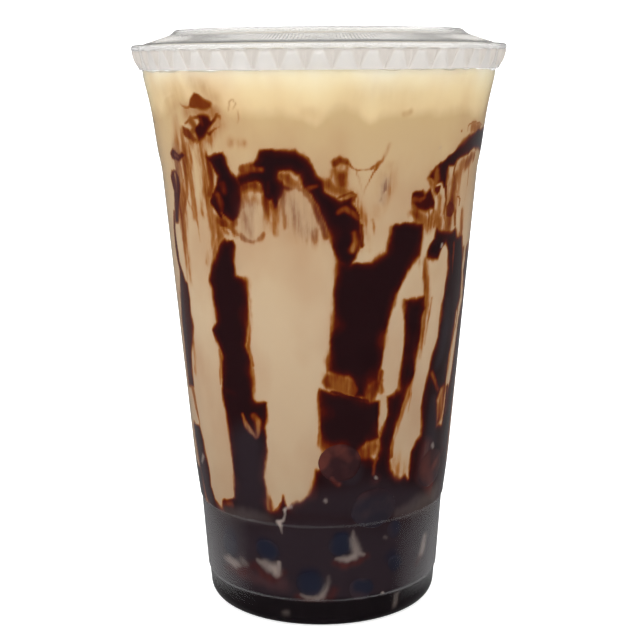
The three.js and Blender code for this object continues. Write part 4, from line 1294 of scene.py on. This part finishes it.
def cream_top_of(degrees, radius):
    """The cream's lumpy top, which climbs a little where it meets the wall."""
    x, y = radius * np.sin(np.radians(degrees)), -radius * np.cos(np.radians(degrees))
    climb = CREAM_CLIMB * np.clip((radius - 44.6) / 1.4, 0, 1)
    return cream_surface(x, y) + 0.25 * ripples(x, y, 12, 7) + climb * (1 + 0.2 * ripples(x, y, 17, 9))


def make_cream():
    degrees = filling_angles()
    edge = boundary(degrees, np.full(len(degrees), CREAM_RADIUS))
    return filling("cream_layer", underside(boundary, degrees), edge, cream_top_of, CREAM_ROWS, 0)


def make_dark_liquid():
    """Syrup and milk at the bottom, up to the heap's top, that fills the room between the pearls."""
    floor = FOOT_RECESS + WALL - 0.1
    foot = [
        (10, floor), (FOOT_INNER - 1.0, floor), (FOOT_INNER + 0.4, 1.6), (FOOT_INNER + 1.2, 0.45),
        (FOOT_RADIUS, 0.45), (30.6, 1.0), (31.4, 2.2),
    ]
    edge = np.full(len(filling_angles()), HEEL_HEIGHT)
    return filling("dark_syrup_pool", foot, edge, heap_top, POOL_ROWS, 1, LAP)


# Pearls that show in the photograph: pixel of the middle, and how far the wall presses it flat in mm
SHOWN_PEARLS = [
    (340, 461.5, 2.7), (374, 507, 4.2), (231, 543, 0.75), (268, 550, 0.9), (311, 583, 1.1),
    (341, 543, 0.9), (395, 527, 0.4), (395, 560, 0.4), (361, 587, 0.8), (430, 466, 3.4),
]
SHOWN_ROWS, SHOWN_COLUMNS = 36, 56
HIDDEN_ROWS, HIDDEN_COLUMNS = 14, 22
PRESSED_INSET = 0.27
PEARL_TRIES = 2600


def unit_sphere(rows, columns):
    """Vertices and faces of a sphere of radius 1, with a fan at each pole."""
    tilt = np.linspace(0, math.pi, rows + 1)[1:-1]
    turn = np.arange(columns) * 2 * math.pi / columns
    ring = np.stack([
        np.outer(np.sin(tilt), np.cos(turn)),
        np.outer(np.sin(tilt), np.sin(turn)),
        np.outer(np.cos(tilt), np.ones(columns)),
    ], 2).reshape(-1, 3)
    vertices = np.concatenate([ring, [[0, 0, 1], [0, 0, -1]]])
    faces = grid_faces(rows - 1, columns)
    top, bottom = len(ring), len(ring) + 1
    last = (rows - 2) * columns
    for column in range(columns):
        beside = (column + 1) % columns
        faces.append([beside, column, top])
        faces.append([last + column, last + beside, bottom])
    return vertices, [face[::-1] for face in faces]


def pearl_middle(angle, height, radius, pressed):
    """Middle of a pearl that is pressed flat against the wall by so many mm, or stands off it."""
    out = filling_radius(height) - radius + pressed
    return np.array([out * math.sin(math.radians(angle)), -out * math.cos(math.radians(angle)), height])


def pearl_places():
    """Middle, radius and whether it shows of each pearl: those of the photograph, then others wherever
    there is room."""
    random = np.random.default_rng(24)
    places = []
    for x, y, pressed in SHOWN_PEARLS:
        angle, height = on_wall(x, y)
        places.append((pearl_middle(angle, height, PEARL_RADIUS, pressed), PEARL_RADIUS, True))
    for _ in range(PEARL_TRIES):
        angle = random.uniform(-180, 180)
        radius = PEARL_RADIUS + random.uniform(-0.3, 0.3)
        height = random.uniform(FOOT_RECESS + WALL + radius * 0.9, heap_top(angle, 30) - radius * 0.7)
        pressed = random.uniform(-0.6, 0.9)
        if random.random() < 0.35:
            pressed = -random.uniform(4, 26)
        if abs(angle) < 62:
            pressed = min(pressed, -0.6)
        spot = pearl_middle(angle, height, radius, pressed)
        if all(np.linalg.norm(spot - other) > 0.93 * (radius + size) for other, size, _ in places):
            places.append((spot, radius, False))
    return places


def pearl_cloud(sphere, spot, radius, random):
    """A pearl's vertices: a sphere a little uneven and squat, flattened where it meets wall or floor."""
    phase = random.uniform(0, 90)
    waves = 1 + 0.025 * ripples(sphere[:, 0] * 6 + phase, sphere[:, 1] * 6 + sphere[:, 2] * 4, 2, 7)
    squeeze = np.array([1, 1, random.uniform(0.93, 1.0)])
    cloud = sphere * radius * waves[:, None] * squeeze + spot
    out = np.hypot(cloud[:, 0], cloud[:, 1])
    most = wall_radius(cloud[:, 2]) - PRESSED_INSET
    cloud[:, :2] *= np.minimum(1, most / out)[:, None]
    cloud[:, 2] = np.maximum(cloud[:, 2], FOOT_RECESS + WALL)
    return cloud


def make_pearls():
    random = np.random.default_rng(5)
    kinds = {True: unit_sphere(SHOWN_ROWS, SHOWN_COLUMNS), False: unit_sphere(HIDDEN_ROWS, HIDDEN_COLUMNS)}
    vertices, faces = [], []
    for spot, radius, shown in pearl_places():
        sphere, sphere_faces = kinds[shown]
        cloud = pearl_cloud(sphere, spot, radius, random)
        faces.extend([[corner + len(vertices) for corner in face] for face in sphere_faces])
        vertices.extend(cloud.tolist())
    piece = make_object("tapioca_pearls", vertices, faces)
    places = np.array(vertices)
    angle = np.degrees(np.arctan2(places[:, 0], -places[:, 1]))
    painting = paint(angle, places[:, 2])
    for name in ("tone", "pale", "touch"):
        set_attribute(piece, name, getattr(painting, name))
    return piece


def cup_profile():
    """The cup's section from the axis out under the foot, up the wall, over the rim and back inside."""
    foot = [
        (12, FOOT_RECESS), (FOOT_INNER - 1.0, FOOT_RECESS), (FOOT_INNER - 0.3, 1.4),
        (FOOT_INNER + 0.1, 0.2), (FOOT_INNER + 0.5, 0),
    ]
    heel_width = HEEL_RADIUS - FOOT_RADIUS
    heel = [
        (FOOT_RADIUS + heel_width * math.sin(turn), HEEL_HEIGHT * (1 - math.cos(turn)))
        for turn in np.linspace(0, math.pi / 2, 9)[:-1]
    ]
    roll_radius, roll_height = RIM_RADIUS - RIM_ROLL, CUP_HEIGHT - RIM_ROLL
    roll = [
        (roll_radius + RIM_ROLL * math.cos(turn), roll_height + RIM_ROLL * math.sin(turn))
        for turn in np.radians(np.linspace(-45, 180, 12))
    ]
    inside = [(radius - WALL, height) for radius, height in reversed(WALL_LINE[:-1])]
    inner_foot = [
        (30.9, 1.9), (FOOT_RADIUS, WALL + 0.1), (FOOT_INNER + WALL, WALL + 0.1),
        (FOOT_INNER, FOOT_RECESS + WALL - 0.3), (FOOT_INNER - 0.6, FOOT_RECESS + WALL),
        (12, FOOT_RECESS + WALL),
    ]
    return foot + heel + WALL_LINE + roll + inside + inner_foot


# Moulded edges made milky, a painted highlight of the light their steps catch: height, half-height and how
# pale
HIGHLIGHT_RINGS = [(8.1, 0.45, 0.022), (29.4, 0.5, 0.02)]
# The low wall's pale painted sheen at its outline: up to this height, and how pale
LOW_WALL_TOP = 29.4
LOW_WALL_SHEEN = 0.115
CUP_COLUMNS = 224


def make_cup():
    """The clear shell, a little milky along its moulded edges as a painted highlight, and pale at the
    outline of its low wall as a painted sheen.
    """
    piece = lathe("cup_shell", cup_profile(), CUP_COLUMNS)
    heights = np.array([vertex.co.z / MM for vertex in piece.data.vertices])
    radii = np.array([math.hypot(vertex.co.x, vertex.co.y) / MM for vertex in piece.data.vertices])
    outer = radii > wall_radius(heights) - 0.3
    haze = np.zeros(len(heights))
    for height, half, amount in HIGHLIGHT_RINGS:
        haze = np.maximum(haze, amount * np.clip(1.2 - np.abs(heights - height) / half, 0, 1))
    set_attribute(piece, "haze", haze * outer)
    low_wall = np.clip((LOW_WALL_TOP - heights) / 1.5, 0, 1) * np.clip((heights - 5) / 5, 0, 1)
    set_attribute(piece, "edge_sheen", LOW_WALL_SHEEN * low_wall * outer)
    return piece


RIBS = 48
RIB_TURN = 360 / RIBS
RIB_DEPTH = 0.75
KNURLS = 312
KNURL_DEPTH = 0.16
LID_COLUMNS = KNURLS * 4
LID_WALL = 0.5
SKIRT_FOOT = 147.6
# Haze of the skirt and of its ribs; with the lid's dark tint it is partly painted shade
SKIRT_HAZE_AND_SHADE = 0.38
RIB_HAZE_AND_SHADE = 0.25
LID_HAZE = 0.03

# The lid's outer side, radius and height, from the skirt's foot over the bead to the middle
SKIRT = [
    (48.45, SKIRT_FOOT), (48.62, 148.2), (48.8, 148.9), (48.95, 149.5), (49.1, 150.1), (49.25, 150.7),
    (49.4, 151.3), (49.6, 152.0), (49.75, 152.3), (50.15, 152.55), (LID_RADIUS, 153.0),
    (LID_RADIUS, 153.35), (50.2, 153.8), (49.7, 154.05), (49.0, 154.1), (47.6, 154.1),
]
SHOULDER = [(47.2, 154.2), (46.4, 154.5), (45.0, 154.95), (43.6, 155.4), (42.2, 155.9), (40.9, 156.35)]
PLATEAU_EDGE = [(40.3, 156.55), (39.7, 156.95), (39.2, 157.4), (38.8, 157.8)]
PLATEAU_DEPTHS = [
    (38.3, 0.02), (37.6, 0), (35.2, 0), (34.8, 0.15), (34.5, 0.4), (30, 0.42), (24, 0.42), (23.6, 0.25),
    (22.8, 0.25), (22.4, 0.42), (14, 0.42), (6, 0.42), (2, 0.42),
]


def lid_row(radius, height, degrees):
    """Radii round the lid at one height: ribs on its skirt are tapered wedges, and its shoulder has fine
    grooves."""
    row = np.full(LID_COLUMNS, radius)
    if 148.2 <= height <= 152.4 and radius < 50:
        turn = apart(degrees, 0) % RIB_TURN - RIB_TURN / 2
        half = 2.3 * (height - 148.0) / 4.4
        side = np.abs(np.radians(turn) * radius)
        swell = np.clip(1 - side / max(half, 0.05), 0, 1)
        row = row + RIB_DEPTH * swell * swell * (3 - 2 * swell) * np.clip((height - 147.9) / 2.0, 0, 1)
        row = np.minimum(row, LID_RADIUS - 0.05)
    if (radius, height) in SHOULDER[1:-1]:
        row = row + KNURL_DEPTH * np.where(np.arange(LID_COLUMNS) % 4 < 2, 1, -1)
    return row


def lid_inside(radius, height):
    """Where the lid's inner side lies under a place of its outer side."""
    inwards, down = (0.3, 0.9) if radius < 47 else (1.0, 0.25)
    return max(radius - LID_WALL * inwards, 1.5), max(height - LID_WALL * down, SKIRT_FOOT)


def lid_haze(height, degrees):
    """How milky the lid is round one height: its skirt, and the ribs on it more so. With the lid's dark
    tint this haze is partly painted shade.
    """
    turn = np.abs(apart(degrees, 0) % RIB_TURN - RIB_TURN / 2) / (RIB_TURN / 2)
    level = np.clip((height - SKIRT_FOOT) / 4.6, 0, 1)
    rib = np.clip((0.25 + 0.6 * level - turn) / 0.25, 0, 1)
    return np.where(height < 152.5, SKIRT_HAZE_AND_SHADE + RIB_HAZE_AND_SHADE * rib, LID_HAZE)


def make_lid():
    """The lid as one shell, from the middle of its inner side out and back over its outer side."""
    angles = ring_angles(LID_COLUMNS)
    degrees = np.degrees(angles)
    plateau = [(radius, LID_TOP - depth) for radius, depth in PLATEAU_DEPTHS]
    outside = SKIRT + SHOULDER + PLATEAU_EDGE + plateau
    inside = [lid_inside(radius, height) for radius, height in reversed(outside)]
    radii = [np.full(LID_COLUMNS, radius) for radius, _ in inside]
    radii += [lid_row(radius, height, degrees) for radius, height in outside]
    levels = [height for _, height in inside + outside]
    heights = np.array([np.full(LID_COLUMNS, height) for height in levels])
    piece = turned("lid_shell", np.array(radii), heights, angles)
    haze = np.concatenate([lid_haze(height, degrees) for height in levels])
    set_attribute(piece, "haze", np.concatenate([haze, [0.1, 0.1]]))
    set_attribute(piece, "edge_sheen", np.zeros(len(piece.data.vertices)))
    return piece


SHARP_FROM = math.radians(50)


def ride_as(piece, node, material):
    """Dresses a piece and sets it on the body, in place of a node where it has one."""
    piece.data.set_sharp_from_angle(angle=SHARP_FROM)
    piece.data.materials.append(material)
    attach(piece, "root")
    if node:
        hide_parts(node)


# Stage, lights and camera

STAGE_COLUMNS = 96
STAGE_DROP = 0.3
STAGE_FLAT = [(0.3, 0), (100, 0), (400, 0), (900, 0)]
STAGE_WALL = [(1400, 900), (1400, 1500)]
STAGE_BEND = 500


def make_stage():
    """A round floor that curves up into a wall, pale from every side."""
    edge = STAGE_FLAT[-1][0]
    bend = [
        (edge + STAGE_BEND * math.sin(turn), STAGE_BEND * (1 - math.cos(turn)))
        for turn in np.linspace(0.15, math.pi / 2, 9)
    ]
    profile = STAGE_FLAT + bend + STAGE_WALL
    angles = ring_angles(STAGE_COLUMNS)
    radii = np.array([[radius] * STAGE_COLUMNS for radius, _ in profile])
    heights = np.array([[height - STAGE_DROP] * STAGE_COLUMNS for _, height in profile])
    x, y = radii * np.sin(angles), -radii * np.cos(angles)
    vertices = np.stack([x, y, heights], 2).reshape(-1, 3).tolist()
    faces = grid_faces(len(profile), STAGE_COLUMNS) + [list(range(STAGE_COLUMNS))]
    floor = make_object("floor", vertices, faces)
    floor.data.materials.append(stage_material())
    floor.visible_glossy = False


def add_area_light(name, place, target, size, power, seen_in_gloss=True):
    """A rectangular lamp that faces a target, hidden from the camera."""
    lamp = bpy.data.lights.new(name, "AREA")
    lamp.shape = "RECTANGLE"
    lamp.size, lamp.size_y = size
    lamp.energy = power
    light = bpy.data.objects.new(name, lamp)
    bpy.context.scene.collection.objects.link(light)
    z_axis = np.array(place, float) - np.array(target, float)
    z_axis /= np.linalg.norm(z_axis)
    x_axis = np.cross([0, 1, 0] if abs(z_axis[2]) > 0.99 else [0, 0, 1], z_axis)
    x_axis /= np.linalg.norm(x_axis)
    y_axis = np.cross(z_axis, x_axis)
    turned_to = Matrix([list(row) for row in np.stack([x_axis, y_axis, z_axis], 1)]).to_4x4()
    light.matrix_world = Matrix.Translation(place) @ turned_to
    light.visible_glossy = seen_in_gloss
    light.visible_camera = False


def fade(tree, value, *limits):
    """A value's range from and to, as a node of the world."""
    made = tree.nodes.new("ShaderNodeMapRange")
    for name, limit in zip(("From Min", "From Max", "To Min", "To Max"), limits):
        made.inputs[name].default_value = limit
    tree.links.new(value, made.inputs["Value"])
    return made.outputs[0]


def make_world():
    """A studio that is dim in front of the drink and bright above it, as the cup's gloss sees it."""
    world = bpy.data.worlds.new("studio")
    world.use_nodes = True
    tree = world.node_tree
    background = tree.nodes["Background"]
    background.inputs["Color"].default_value = (1, 1, 1, 1)
    place = tree.nodes.new("ShaderNodeTexCoord")
    parts = tree.nodes.new("ShaderNodeSeparateXYZ")
    tree.links.new(place.outputs["Generated"], parts.inputs[0])
    both = tree.nodes.new("ShaderNodeMath")
    tree.links.new(fade(tree, parts.outputs["Y"], 0.0, 0.7, 0.02, 0.16), both.inputs[0])
    tree.links.new(fade(tree, parts.outputs["Z"], 0.3, 0.75, 0.0, 0.4), both.inputs[1])
    tree.links.new(both.outputs[0], background.inputs["Strength"])
    bpy.context.scene.world = world


def make_lights():
    add_area_light("key", (-0.8, -0.6, 0.2), (0, 0, 0.06), (0.7, 0.7), 2.6, False)
    add_area_light("fill", (0.85, -0.55, 0.15), (0, 0, 0.06), (0.7, 0.7), 1.5, False)
    add_area_light("top", (0, 0.1, 1.0), (0, 0, 0.1), (1.0, 1.0), 0.7)
    make_world()


def make_camera():
    """The photograph's camera."""
    lens = bpy.data.cameras.new("camera")
    lens.sensor_width = 36
    lens.lens = FOCAL_PIXELS * lens.sensor_width / FRAME_PIXELS
    lens.shift_x = -(CENTRE_PIXELS - FRAME_PIXELS / 2) / FRAME_PIXELS
    lens.clip_start = 0.01
    camera = bpy.data.objects.new("camera", lens)
    bpy.context.scene.collection.objects.link(camera)
    place = Matrix.Translation((0, -EYE_BACK * MM, EYE_HEIGHT * MM))
    tilt = Matrix.Rotation(math.pi / 2 - EYE_PITCH, 4, "X")
    camera.matrix_world = place @ tilt @ Matrix.Rotation(EYE_ROLL, 4, "Z")
    bpy.context.scene.camera = camera


make_camera()
make_lights()
make_stage()
bpy.context.scene.view_settings.view_transform = "Standard"

drink = drink_material()
# Its pale haze tint shows the painted highlights along the steps and the painted sheen at the low wall's
# outline
cup_plastic = clear_plastic("cup_plastic", (0.985, 0.99, 0.99, 1), (0.8, 0.76, 0.76, 1), 0.04, 0.15)
# Its dark beige haze tint is painted shade on the skirt and ribs, standing in for the cream and room seen
# through them
lid_plastic = clear_plastic("lid_plastic", (0.992, 0.988, 0.98, 1), (0.3, 0.24, 0.18, 1), 0.2, 0.25)

ride_as(make_cup(), "cup", cup_plastic)
ride_as(make_lid(), "lid", lid_plastic)
ride_as(make_milk_tea(), "milk_tea", drink)
ride_as(make_cream(), "cream_top", drink)
ride_as(make_pearls(), "pearls", pearl_material())
ride_as(make_dark_liquid(), None, drink)
